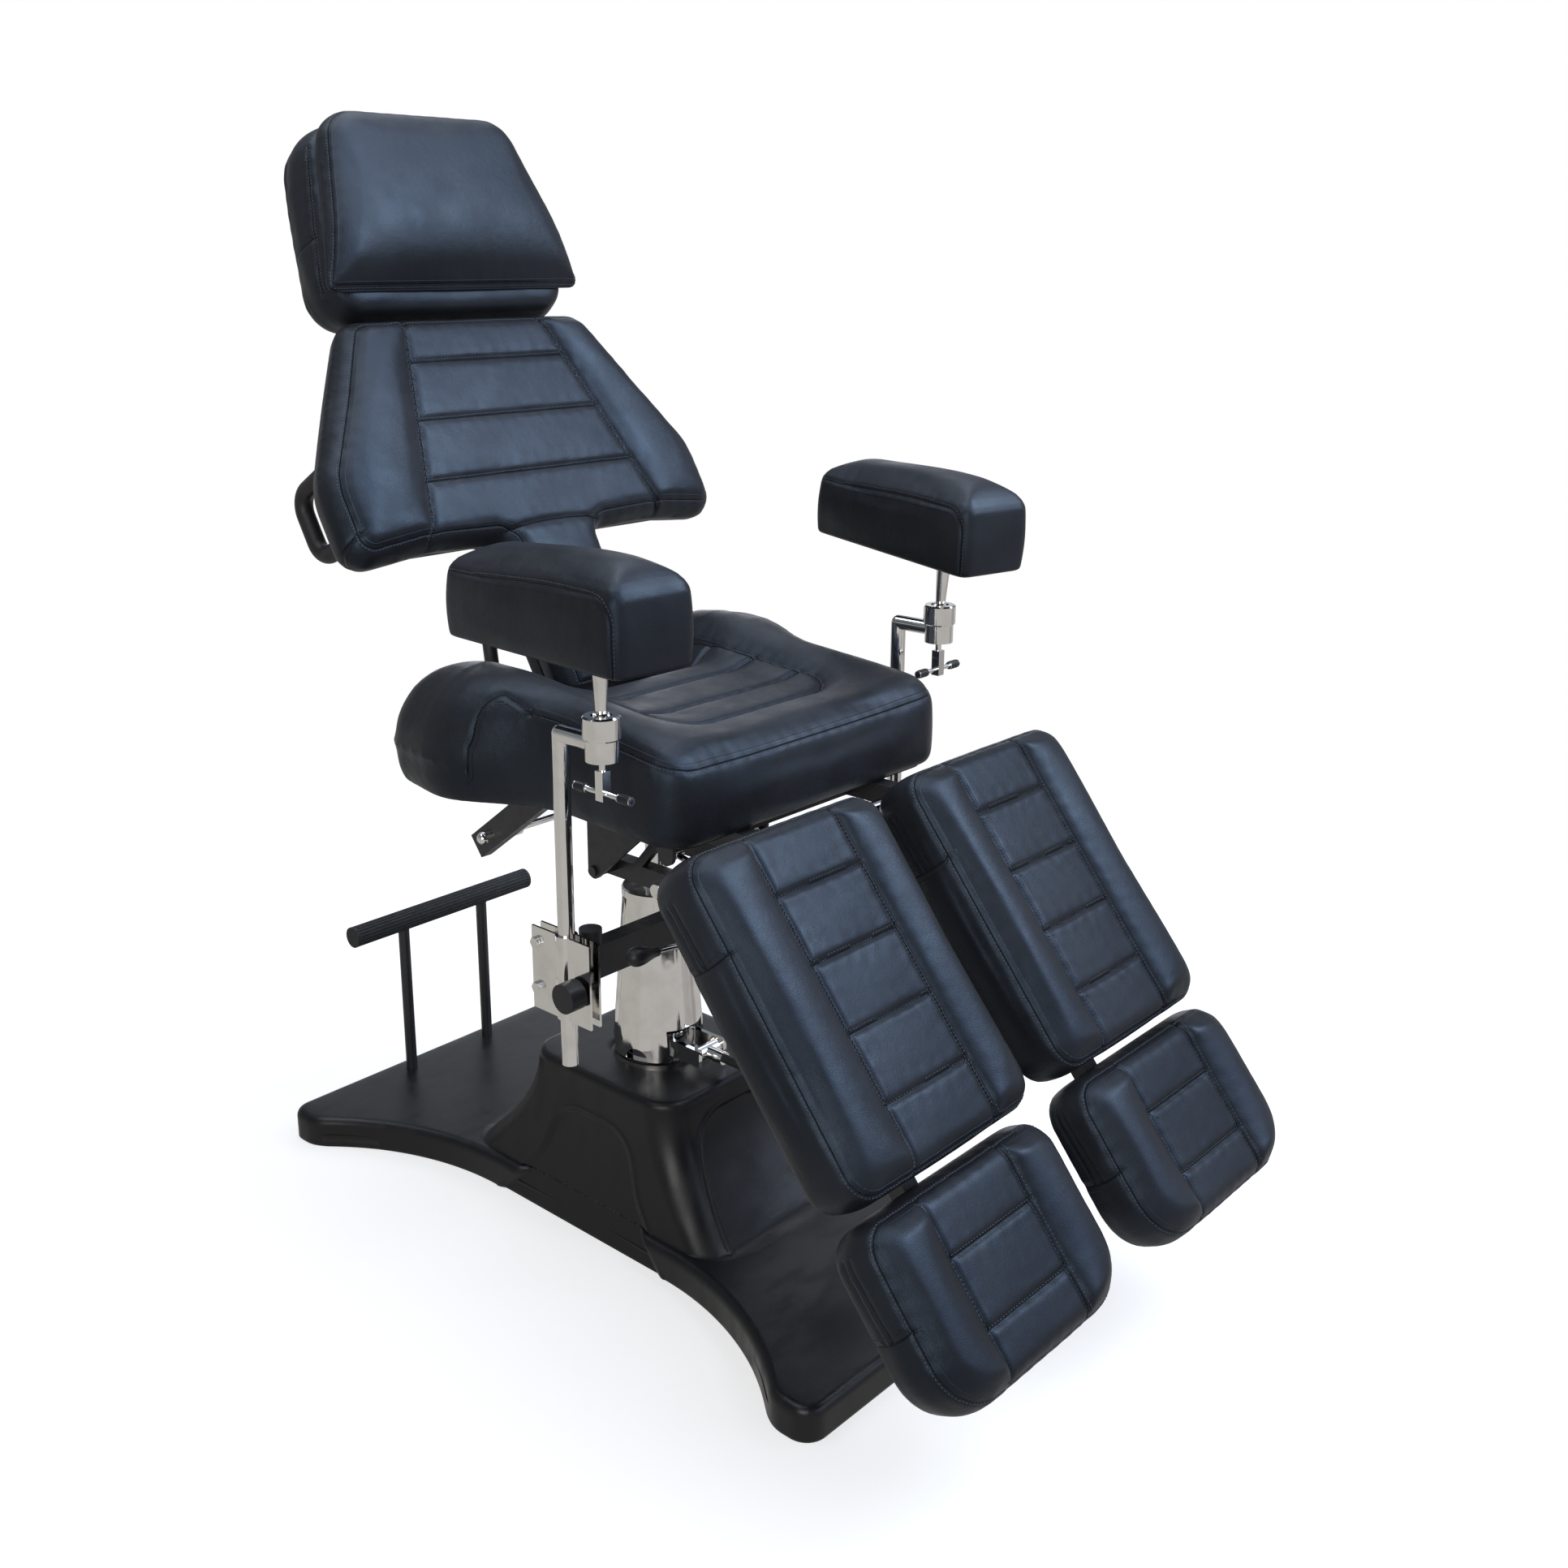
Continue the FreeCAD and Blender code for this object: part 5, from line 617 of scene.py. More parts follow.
@dataclass
class Cushion:
    """A sewn cushion, modelled flat: its back lies at low and its face looks out at high."""

    name: str
    plan: Plan
    low: float
    high: float
    place: Place
    body: str
    node: str
    centre: Corners = ()
    seams: tuple[Seam, ...] = ()
    profile: Profile = Profile()
    soft_profile: Profile | None = None
    soft_from: float = 0.0
    soft_to: float = 1.0
    bolster: float = 0.010
    panel: float = 0.003
    panel_reach: float = 0.016
    crown: float = 0.0
    crown_reach: float = 0.06
    lift: Callable[[Array], Array] = level
    rim_rows: tuple[float, ...] = (0.0024,)
    rim_turn: float = 30.0
    rim_end: float = 9.0
    voxel: float = 0.0055
    cap: float = 0.004
    smoothing: int = 24
    stitch_gap: float = 0.0046
    wrinkle: float = 0.0005
    blank: bpy.types.Object | None = field(default=None, repr=False)

    def surface_rings(self) -> Array:
        """The flat blank's rings, with the soft profile blended in where the cushion is soft.

        Returns:
            Rings of points, shaped (rings, points, 3).
        """
        hard = self.rings_of(self.profile)
        if self.soft_profile is None:
            return hard
        share = step(hard[0, :, 1], self.soft_from, self.soft_to)[None, :, None]
        return hard * (1 - share) + self.rings_of(self.soft_profile) * share

    def rings_of(self, profile: Profile) -> Array:
        """The rings of one profile all round the plan."""
        insets, levels = profile.section(self.low, self.high)
        rings = np.stack([self.plan.ring(inset) for inset in insets])
        heights = np.broadcast_to(levels[:, None], rings.shape[:2])
        return np.concatenate([rings, heights[:, :, None]], 2)

    def make_blank(self) -> None:
        """Make the closed blank, remeshed to even facets, and note where each point starts."""
        rings = self.surface_rings()
        count, around = rings.shape[:2]
        faces = grid_faces(count, around, True).tolist()
        faces.append(list(range(around))[::-1])
        faces.append(list(range((count - 1) * around, count * around)))
        rough = new_object(self.name + "_rough", rings.reshape(-1, 3), faces, False)
        remesh = rough.modifiers.new("facets", "REMESH")
        remesh.mode = "VOXEL"
        remesh.voxel_size = self.voxel
        mesh = applied(rough)
        bpy.data.objects.remove(rough)
        flat = mesh.attributes.new("flat", "FLOAT_VECTOR", "POINT")
        flat.data.foreach_set("vector", mesh_points(mesh).ravel())
        self.blank = bpy.data.objects.new(self.name, mesh)
        bpy.context.scene.collection.objects.link(self.blank)

    def seam_gap(self, points: Array) -> Array:
        """The distance to the nearest sewn line on the face, seen square on."""
        best = np.full(len(points), 1.0)
        for seam in self.seams:
            if seam.on_face:
                best = np.minimum(best, np.abs(line_gap(points[:, :2], np.array(seam.line))))
        return best

    def rise(self, points: Array) -> Array:
        """How far each point of the flat blank is raised.

        The lift stretches the whole thickness. On the face a bolster is a roll between its seam and the
        edge, a sine of the share of the way across; a pad inside the centre rises by one minus a cube away
        from its sewn lines; the crown is a smooth step in from the edge.
        """
        share = np.clip((points[:, 2] - self.low) / (self.high - self.low), 0.0, 1.0)
        edge = self.plan.soft_edge(points[:, :2])
        gap = self.seam_gap(points)
        roll = self.bolster * np.sin(math.pi * gap / (gap + edge + 1e-6)) ** 0.85 * step(edge, 0.0, 0.028)
        pad = self.panel * (1 - np.clip(1 - gap / self.panel_reach, 0.0, 1.0) ** 3) * step(edge, 0.0, 0.02)
        within = inside(points[:, :2], np.array(self.centre)) if self.centre else np.zeros(len(points), bool)
        face = np.where(within, pad, roll) + self.crown * step(edge, 0.0, self.crown_reach)
        return self.lift(points) * share + face * step(share, 0.35, 0.8)

    def raised(self, points: Array) -> Array:
        """Points of the flat blank at their real heights."""
        return points + self.rise(points)[:, None] * np.array([0.0, 0.0, 1.0])

    def start_press(self) -> None:
        """Set the blank up as airtight cloth, held at its sewn lines and at its back."""
        points = mesh_points(self.blank.data)
        near = (self.seam_gap(points) < self.voxel) & (points[:, 2] > (self.low + self.high) / 2)
        group = self.blank.vertex_groups.new(name="held")
        group.add(np.flatnonzero(near | (points[:, 2] < self.low + 0.004)).tolist(), 1.0, "REPLACE")
        cloth = self.blank.modifiers.new("air", "CLOTH")
        cloth.settings.quality = 4
        cloth.settings.mass = 0.4
        cloth.settings.tension_stiffness = 18.0
        cloth.settings.compression_stiffness = 18.0
        cloth.settings.bending_stiffness = 4.0
        cloth.settings.use_pressure = True
        cloth.settings.uniform_pressure_force = 4.0
        cloth.settings.vertex_group_mass = "held"
        cloth.settings.effector_weights.gravity = 0.0
        cloth.collision_settings.use_collision = False
        cloth.collision_settings.use_self_collision = False

    def end_press(self) -> None:
        """Take the pressed shape, with no point moved further than the cap.

        Each point's movement becomes the mean of its neighbours' a number of times over, while held points
        stay where they are, so that the leather swells without wrinkles.
        """
        before = mesh_points(self.blank.data)
        after = mesh_points(applied(self.blank))
        self.blank.modifiers.clear()
        moved = after - before
        length = np.linalg.norm(moved, axis=1, keepdims=True)
        moved *= np.minimum(1.0, 2 * self.cap / np.maximum(length, 1e-9))
        free = (length > 1e-6).astype(float)
        ends = np.empty(len(self.blank.data.edges) * 2, dtype=int)
        self.blank.data.edges.foreach_get("vertices", ends)
        near, far = np.concatenate([ends[0::2], ends[1::2]]), np.concatenate([ends[1::2], ends[0::2]])
        number = np.bincount(near, minlength=len(moved))[:, None]
        for _ in range(self.smoothing):
            total = np.stack([np.bincount(near, moved[far, axis], len(moved)) for axis in range(3)], 1)
            moved = (0.5 * moved + 0.5 * total / number) * free
        length = np.linalg.norm(moved, axis=1, keepdims=True)
        moved *= np.minimum(1.0, self.cap / np.maximum(length, 1e-9))
        self.blank.data.vertices.foreach_set("co", (before + moved).ravel())

    def rim_spot(self) -> tuple[float, float]:
        """How far in, and at what level, the rim's seam runs."""
        turn = math.radians(self.rim_turn)
        return self.profile.edge * (1 - math.cos(turn)), self.high - self.profile.drop * (1 - math.sin(turn))

    def rim_path(self) -> Array:
        """The rim's seam as one run of flat points, as far up the plan as it reaches."""
        inset, height = self.rim_spot()
        rim = self.plan.ring(inset)
        sewn = rim[:, 1] < self.rim_end
        if sewn.all():
            rim = np.concatenate([rim, rim[:1]])
        else:
            rim = np.roll(rim, -(np.flatnonzero(~sewn)[-1] + 1), axis=0)[:sewn.sum()]
        return np.concatenate([rim, np.full((len(rim), 1), height)], 1)

    def sewn_gap(self, rest: Array, normals: Array, tree: BVHTree) -> tuple[Array, Array]:
        """Measure every point's way to its nearest sewn line.

        Args:
            rest: The points in the flat blank.
            normals: The normals of the pressed points.
            tree: The flat blank's surface.

        Returns:
            The signed distance to the nearest line, and how deep the lines draw each point in.
        """
        on_face = step(normals[:, 2], 0.2, 0.5)
        dent = np.zeros(len(rest))
        gap = np.full(len(rest), SEAM_REACH)
        layers = []
        for seam in self.seams:
            if seam.on_face:
                layers.append((line_gap(rest[:, :2], np.array(seam.line)), seam.depth, on_face))
            else:
                line = Stitches.on_surface(np.array(seam.line), tree)[:, :3]
                layers.append((line_gap(rest, line, normals), seam.depth, np.ones(len(rest))))
        if self.rim_rows:
            inset, height = self.rim_spot()
            across, down = self.plan.edge_distance(rest[:, :2]) - inset, rest[:, 2] - height
            beyond = np.maximum(rest[:, 1] - self.rim_end, 0.0)
            rim = np.sqrt(across ** 2 + down ** 2 + beyond ** 2) * np.where(across + down > 0, 1.0, -1.0)
            layers.append((rim, RIM_DENT, np.ones(len(rest))))
        for distance, depth, weight in layers:
            dent += depth * np.exp(-(distance / DENT_WIDTH) ** 2) * weight
            away = distance + np.where(distance < 0, -1.0, 1.0) * SEAM_REACH * (1 - weight)
            gap = np.where(np.abs(away) < np.abs(gap), away, gap)
        return gap, dent

    def sew(self) -> tuple[Array, Array, Array]:
        """Subdivide the pressed blank, raise its panels and draw in its sewn lines.

        Returns:
            The points, the faces and each point's signed distance to the nearest sewn line.
        """
        smooth = self.blank.modifiers.new("finer", "SUBSURF")
        smooth.levels = smooth.render_levels = 1
        mesh = applied(self.blank)
        bpy.data.objects.remove(self.blank)
        points, normals = mesh_points(mesh), mesh_points(mesh, "normal")
        rest = np.empty(len(points) * 3)
        mesh.attributes["flat"].data.foreach_get("vector", rest)
        rest = rest.reshape(-1, 3)
        loops = np.empty(len(mesh.loops), dtype=int)
        mesh.loops.foreach_get("vertex_index", loops)
        faces = loops.reshape(-1, 4)
        gap, dent = self.sewn_gap(rest, normals, surface_tree(rest, faces))
        pull = np.exp(-np.abs(gap) / 0.014)
        ripple = (np.sin(points[:, 0] * 260 + 3 * np.sin(points[:, 1] * 41))
                  + np.sin(points[:, 1] * 290 + 2 * np.sin(points[:, 0] * 47)))
        points[:, 2] += self.rise(rest)
        points -= normals * (dent + self.wrinkle * pull * ripple * 0.5)[:, None]
        return points, faces, gap

    def dress(self, workshop: Workshop, shape: tuple[Array, Array, Array]) -> bpy.types.Object:
        """Stand the sewn shape in the chair with its stitches.

        Args:
            workshop: The materials.
            shape: The result of sew().

        Returns:
            The cushion.
        """
        points, faces, gap = shape
        piece = new_object(self.name, self.place.put(points), self.place.faces(faces))
        for label, values in (("seam_gap", gap), ("seam_far", np.abs(gap))):
            layer = piece.data.attributes.new(label, "FLOAT", "POINT")
            layer.data.foreach_set("value", values)
        workshop.dress(piece, Finish.UPHOLSTERY, self.body, (self.node,))
        tree = surface_tree(points, faces)
        stitches = Stitches(self.name + "_stitches", self.stitch_gap)
        for seam in self.seams:
            line = np.array(seam.line)
            if seam.on_face:
                line = np.concatenate([line, np.full((len(line), 1), self.high)], 1)
            for row in seam.rows:
                stitches.lay(self.raised(evenly(line, self.stitch_gap)), row, tree)
        for row in self.rim_rows:
            stitches.lay(self.raised(evenly(self.rim_path(), self.stitch_gap)), row, tree)
        if stitches.count:
            thread = stitches.build(self.place)
            thread.data.materials.append(workshop.thread)
            workshop.dress(thread, Finish.UPHOLSTERY, self.body)
        LOG.info("%s: %d faces, %d stitches", self.name, len(faces), stitches.count)
        return piece


def surface_tree(points: Array, faces: Array) -> BVHTree:
    """A search tree of a surface."""
    return BVHTree.FromPolygons(points.tolist(), faces.tolist())


class Stitches:
    """Rows of short raised stitches laid on a cushion."""

    def __init__(self, name: str, gap: float, length: float = 0.0033, radius: float = 0.0005) -> None:
        """Start with no stitches.

        Args:
            name: The object's name.
            gap: Distance from one stitch to the next.
            length: Length of a stitch.
            radius: Thickness of the thread, as a radius.
        """
        self.name, self.gap, self.length, self.radius = name, gap, length, radius
        self.spots: list[Array] = []

    @property
    def count(self) -> int:
        """How many stitches there are."""
        return sum(len(spots) for spots in self.spots)

    def lay(self, path: Array, row: float, tree: BVHTree) -> None:
        """Lay one row of stitches along the surface under a path.

        Args:
            path: Points near the surface.
            row: How far beside the path the row lies, along the surface.
            tree: The surface.
        """
        spots = self.on_surface(evenly(path, self.gap), tree)
        beside = np.cross(np.gradient(spots[:, :3], axis=0), spots[:, 3:])
        beside /= np.maximum(np.linalg.norm(beside, axis=1, keepdims=True), 1e-9)
        spots = self.on_surface(spots[:, :3] + beside * row, tree)
        along = np.gradient(spots[:, :3], axis=0)
        length = np.linalg.norm(along, axis=1, keepdims=True)
        keep = (length[:, 0] > self.gap * 0.5) & (length[:, 0] < self.gap * 1.6)
        self.spots.append(np.concatenate([spots, along / np.maximum(length, 1e-9)], 1)[keep])

    @staticmethod
    def on_surface(points: Array, tree: BVHTree) -> Array:
        """The nearest place on the surface to each point, with the surface's normal there."""
        found = [tree.find_nearest(Vector(point)) for point in points]
        return np.array([[*place, *normal] for place, normal, _, _ in found])

    def build(self, place: Place) -> bpy.types.Object:
        """Make all the stitches as one mesh: each is a rounded rod along its row.

        Args:
            place: Where the cushion stands.

        Returns:
            The object.
        """
        sides, rings = 6, 5
        turn = np.linspace(0.0, 2 * math.pi, sides, endpoint=False)
        share = np.linspace(-1.0, 1.0, rings)
        thickness = np.sqrt(np.maximum(1 - share ** 4, 0.02))
        spots = np.concatenate(self.spots)
        at, normal, along = spots[:, :3], spots[:, 3:6], spots[:, 6:9]
        across = np.cross(along, normal)
        offset = (share[None, :, None, None] * self.length / 2 * along[:, None, None, :]
                  + self.radius * thickness[None, :, None, None]
                  * (np.cos(turn)[None, None, :, None] * across[:, None, None, :]
                     + np.sin(turn)[None, None, :, None] * normal[:, None, None, :]))
        points = at[:, None, None, :] + offset + normal[:, None, None, :] * self.radius * 0.25
        per_stitch = rings * sides
        walls = grid_faces(rings, sides, True)
        caps = np.array([[0, 5, 4, 3], [0, 3, 2, 1], [24, 25, 26, 27], [24, 27, 28, 29]])
        single = np.concatenate([walls[:, ::-1], caps[:, ::-1]])
        faces = (single[None] + np.arange(len(spots))[:, None, None] * per_stitch).reshape(-1, 4)
        return new_object(self.name, place.put(points.reshape(-1, 3)), place.faces(faces))


def arc(centre: tuple[float, float], radius: float, start: float, end: float) -> Corners:
    """Points of an arc between two angles in degrees."""
    angles = np.radians(np.linspace(start, end, 9))
    return tuple((centre[0] + radius * math.cos(a), centre[1] + radius * math.sin(a)) for a in angles)


@dataclass(frozen=True)
class SeatPad:
    """The seat: a square front with a sewn rim, egg-shaped wings behind, and a ribbed panel between them."""

    low: float = 0.641
    high: float = 0.738
    panel_half: float = 0.148
    panel_front: float = -0.192
    panel_back: float = 0.215
    front_round: float = 0.055
    rows: tuple[float, ...] = (-0.125, -0.045, 0.035)
    rim_end: float = -0.042

    def lift(self, points: Array) -> Array:
        """The seat's dish: the panel rises a little backwards, the sides more, and most at the wings."""
        spots = (-0.29, -0.25, -0.15, -0.05, 0.02, 0.09, 0.21)
        middle = np.interp(points[:, 1], spots, (0.003, 0.005, 0.006, 0.009, 0.014, 0.020, 0.026))
        side = np.interp(points[:, 1], spots, (0.003, 0.013, 0.024, 0.036, 0.046, 0.049, 0.038))
        return middle + (side - middle) * step(np.abs(points[:, 0]), 0.095, 0.215)

    def side_seam(self, side: int) -> Seam:
        """The rim's seam where it leaves the top edge and bends down before the wing."""
        along = np.linspace(0.0, 1.0, 24)
        stops = (0.0, 0.2, 0.4, 0.6, 0.8, 1.0)
        up = np.interp(along, stops, (self.rim_end, -0.020, 0.006, 0.029, 0.043, 0.047))
        out = np.interp(along, stops, (0.7285, 0.727, 0.716, 0.697, 0.672, 0.650))
        across = side * (0.249 + 0.42 * np.maximum(up, 0.0))
        return Seam(tuple(zip(across, up, out)), 0.0016, (0.0024,))

    def cushions(self) -> list[Cushion]:
        """The one cushion of the seat."""
        plan = Plan.mirrored(((0.257, -0.290), (0.244, -0.060), (0.316, 0.060), (0.286, 0.212),
                              (0.104, 0.196), (0.098, 0.040)), (0.046, 0.150, 0.090, 0.072, 0.030, 0.020))
        half, front, bend = self.panel_half, self.panel_front, self.front_round
        left = arc((-half + bend, front + bend), bend, 180, 270)
        right = arc((half - bend, front + bend), bend, 270, 360)
        around = ((-half, self.panel_back),) + left + right + ((half, self.panel_back),)
        seams = [Seam(around, 0.0022, (0.0031,))]
        seams += [Seam(((-half, y), (half, y)), 0.0022, (-0.0031,)) for y in self.rows]
        seams += [self.side_seam(side) for side in (-1, 1)]
        place = Place(0.0, (0.0, 0.0, 0.0))
        return [Cushion("seat_leather", plan, self.low, self.high, place, "seat", "seat_cushion", around,
                        tuple(seams), profile=Profile(0.024, 0.022, 0.012, 0.016, 0.001),
                        soft_profile=Profile(0.088, 0.058, 0.014, 0.034, 0.004), soft_from=-0.04,
                        soft_to=0.085, bolster=0.005, panel=0.0045, panel_reach=0.022, lift=self.lift,
                        rim_end=self.rim_end, rim_turn=38.0)]


@dataclass(frozen=True)
class BackPad:
    """The back: wide soft bolsters beside a ribbed panel that narrows upwards, and a tongue below."""

    angle: float = 59.2
    y: float = 0.173
    z: float = 0.937
    low: float = -0.078
    high: float = -0.010
    seam_low: float = 0.012
    seam_low_half: float = 0.200
    seam_top_half: float = 0.115
    top: float = 0.316
    rows: tuple[float, ...] = (0.084, 0.169, 0.251)

    def seam_half(self, up: float) -> float:
        """Half the panel's width at a height."""
        share = (up - self.seam_low) / (self.top - self.seam_low)
        return self.seam_low_half + (self.seam_top_half - self.seam_low_half) * share

    def cushions(self) -> list[Cushion]:
        """The one cushion of the back."""
        plan = Plan.mirrored(((0.078, -0.232), (0.078, -0.002), (0.190, 0.002), (0.322, -0.012),
                              (0.322, 0.104), (0.200, 0.324)), (0.015, 0.020, 0.300, 0.034, 0.110, 0.040))
        seams = []
        for side in (-1, 1):
            ends = ((side * self.seam_half(0.004), 0.004), (side * self.seam_half(self.top), self.top))
            seams.append(Seam(ends, 0.0018, (0.0034, -0.0034)))
        for up in self.rows:
            half = self.seam_half(up)
            seams.append(Seam(((-half, up), (half, up)), 0.0018, (-0.0031,)))
        bow = tuple((x, 0.010 - 0.006 * (x / 0.080) ** 2) for x in np.linspace(-0.080, 0.080, 9))
        seams.append(Seam(bow, 0.0014, ()))
        low_half, top_half = self.seam_half(-0.02), self.seam_half(self.top + 0.02)
        centre = ((-low_half, -0.25), (low_half, -0.25), (low_half, -0.02), (top_half, self.top + 0.02),
                  (-top_half, self.top + 0.02), (-low_half, -0.02))
        for side in (-1, 1):
            join = tuple((side * (0.300 + 0.026 * math.sin(math.pi * s)), 0.030 - 0.045 * s,
                          self.high - 0.010 - 0.060 * s) for s in np.linspace(0.0, 1.0, 14))
            seams.append(Seam(join, 0.0014, ()))
        place = Place(self.angle, (0.0, self.y, self.z))
        return [Cushion("back_leather", plan, self.low, self.high, place, "back", "back_cushion", centre,
                        tuple(seams), profile=Profile(0.034, 0.030, 0.026, 0.036, 0.003), panel=0.0034,
                        panel_reach=0.018, rim_turn=54.0)]


@dataclass(frozen=True)
class HeadrestPads:
    """The headrest: a plain face cushion that rolls down at its lower edge, on a deeper base cushion."""

    angle: float = 64.9
    y: float = 0.323
    z: float = 1.251
    roll: float = 0.115
    roll_drop: float = 0.030

    def lift(self, points: Array) -> Array:
        """The face's lower band: it falls by the square of the share of the way down to its edge."""
        share = np.clip(1 - points[:, 1] / self.roll, 0.0, 1.0)
        return -self.roll_drop * share ** 2

    def base_seams(self) -> tuple[Seam, ...]:
        """On each side of the base: a double seam up the side, a second line near the back and a join."""
        seams = []
        for side in (-1, 1):
            for out, rows in ((-0.066, (0.0026, -0.0026)), (-0.118, ())):
                line = tuple((side * (0.206 - 0.215 * max(up, 0.0)), up, out - 0.010 * math.cos(up * 9))
                             for up in np.linspace(0.012, 0.215, 24))
                seams.append(Seam(line, 0.0018, rows))
            join = tuple((side * 0.190, 0.095 - 0.012 * s, -0.066 - 0.055 * s)
                         for s in np.linspace(0.05, 0.95, 10))
            seams.append(Seam(join, 0.0014, ()))
        return tuple(seams)

    def cushions(self) -> list[Cushion]:
        """The face cushion and the base cushion."""
        place = Place(self.angle, (0.0, self.y, self.z))
        face = Plan.mirrored(((0.215, 0.007), (0.149, 0.252)), (0.009, 0.056))
        base = Plan.mirrored(((0.209, -0.022), (0.160, 0.254)), (0.048, 0.066))
        return [
            Cushion("headrest_face_leather", face, -0.050, -0.006, place, "headrest", "headrest_cushion",
                    profile=Profile(0.024, 0.020, 0.006, 0.006, 0.002), bolster=0.0, panel=0.0,
                    crown=0.005, crown_reach=0.10, lift=self.lift, voxel=0.005, cap=0.003, rim_turn=20.0,
                    wrinkle=0.0003),
            Cushion("headrest_base_leather", base, -0.1423, -0.0503, place, "headrest",
                    "headrest_base_cushion", (), self.base_seams(),
                    profile=Profile(0.018, 0.016, 0.026, 0.030, 0.004), bolster=0.0, panel=0.0, cap=0.003,
                    rim_rows=()),
        ]


@dataclass(frozen=True)
class LegPads:
    """The two leg rests and their foot rests, with ribbed panels between rolled edges."""

    angle: float = 51.2
    y: float = -0.412
    z: float = 0.690
    leg_edges: tuple[float, float] = (0.031, 0.349)
    foot_edges: tuple[float, float] = (0.036, 0.357)

    def side_lines(self, x: float, top: float, cross: float, face: float, low: float) -> tuple[Seam, ...]:
        """The closing seams on one side: one across it, and two along the back part above that."""
        across = tuple((x, cross - 0.004 * math.sin(math.pi * s), face + (low - face) * s)
                       for s in np.linspace(0.02, 0.95, 14))
        lines = [Seam(across, 0.0014, ())]
        for out in (0.026, 0.037):
            run = tuple((x, cross + (top - cross) * s, low + out - 0.006 * s)
                        for s in np.linspace(0.0, 1.0, 12))
            lines.append(Seam(run, 0.0014, ()))
        return tuple(lines)

    def face_seams(self, lines: tuple[float, float], ends: tuple[float, float], rows: tuple[float, ...]
                   ) -> tuple[list[Seam], Corners]:
        """The two long seams, the cross seams between them, and the panel that they bound."""
        inner, outer = lines
        top, bottom = ends
        seams = [Seam(((x, top), (x, bottom)), 0.0018, (0.0034, -0.0034)) for x in lines]
        seams += [Seam(((inner, y), (outer, y)), 0.0020, (-0.0031,)) for y in rows]
        low, high = bottom - 0.03, top + 0.03
        return seams, ((inner, low), (outer, low), (outer, high), (inner, high))

    def cushion(self, name: str, flip: bool, plan: Plan, levels: tuple[float, float], profile: Profile,
                bolster: float, seams: list[Seam], centre: Corners) -> Cushion:
        """One cushion of a leg or foot rest.

        Args:
            name: leg or foot, from the rest that it lies on.
            flip: Whether it is the right one, mirrored.
            plan: Its outline.
            levels: Where its back and its face lie.
            profile: Its section at the rim.
            bolster: How high its side rolls rise.
            seams: Its sewn lines.
            centre: The corners of its ribbed panel.
        """
        side = "right" if flip else "left"
        place = Place(self.angle, (0.0, self.y, self.z), 0.0, flip)
        return Cushion(f"{name}_leather_{side}", plan, *levels, place, f"{name}_{side}",
                       f"{name}_cushion_{side}", centre, tuple(seams), profile=profile, bolster=bolster,
                       panel=0.0026, panel_reach=0.013, voxel=0.005, cap=0.003, rim_turn=34.0)

    def leg(self, flip: bool) -> Cushion:
        """One leg cushion."""
        inner, outer = self.leg_edges
        plan = Plan(((inner, -0.376), (outer, -0.376), (outer, 0.017), (inner, 0.017)), (0.036,) * 4)
        seams, centre = self.face_seams((0.113, 0.256), (0.016, -0.373), (-0.060, -0.140, -0.220, -0.300))
        for x in self.leg_edges:
            seams += self.side_lines(x, -0.022, -0.092, -0.016, -0.088)
        return self.cushion("leg", flip, plan, (-0.090, -0.012), Profile(0.020, 0.018, 0.014, 0.016, 0.002),
                            0.0105, seams, centre)

    def foot(self, flip: bool) -> Cushion:
        """One foot cushion."""
        inner, outer = self.foot_edges
        plan = Plan(((inner, -0.598), (outer, -0.598), (outer, -0.391), (inner, -0.391)),
                    (0.066, 0.066, 0.036, 0.036))
        seams, centre = self.face_seams((0.125, 0.270), (-0.394, -0.597), (-0.461, -0.538))
        for x in self.foot_edges:
            seams += self.side_lines(x, -0.415, -0.497, -0.022, -0.089)
        return self.cushion("foot", flip, plan, (-0.090, -0.018), Profile(0.022, 0.020, 0.014, 0.016, 0.003),
                            0.013, seams, centre)


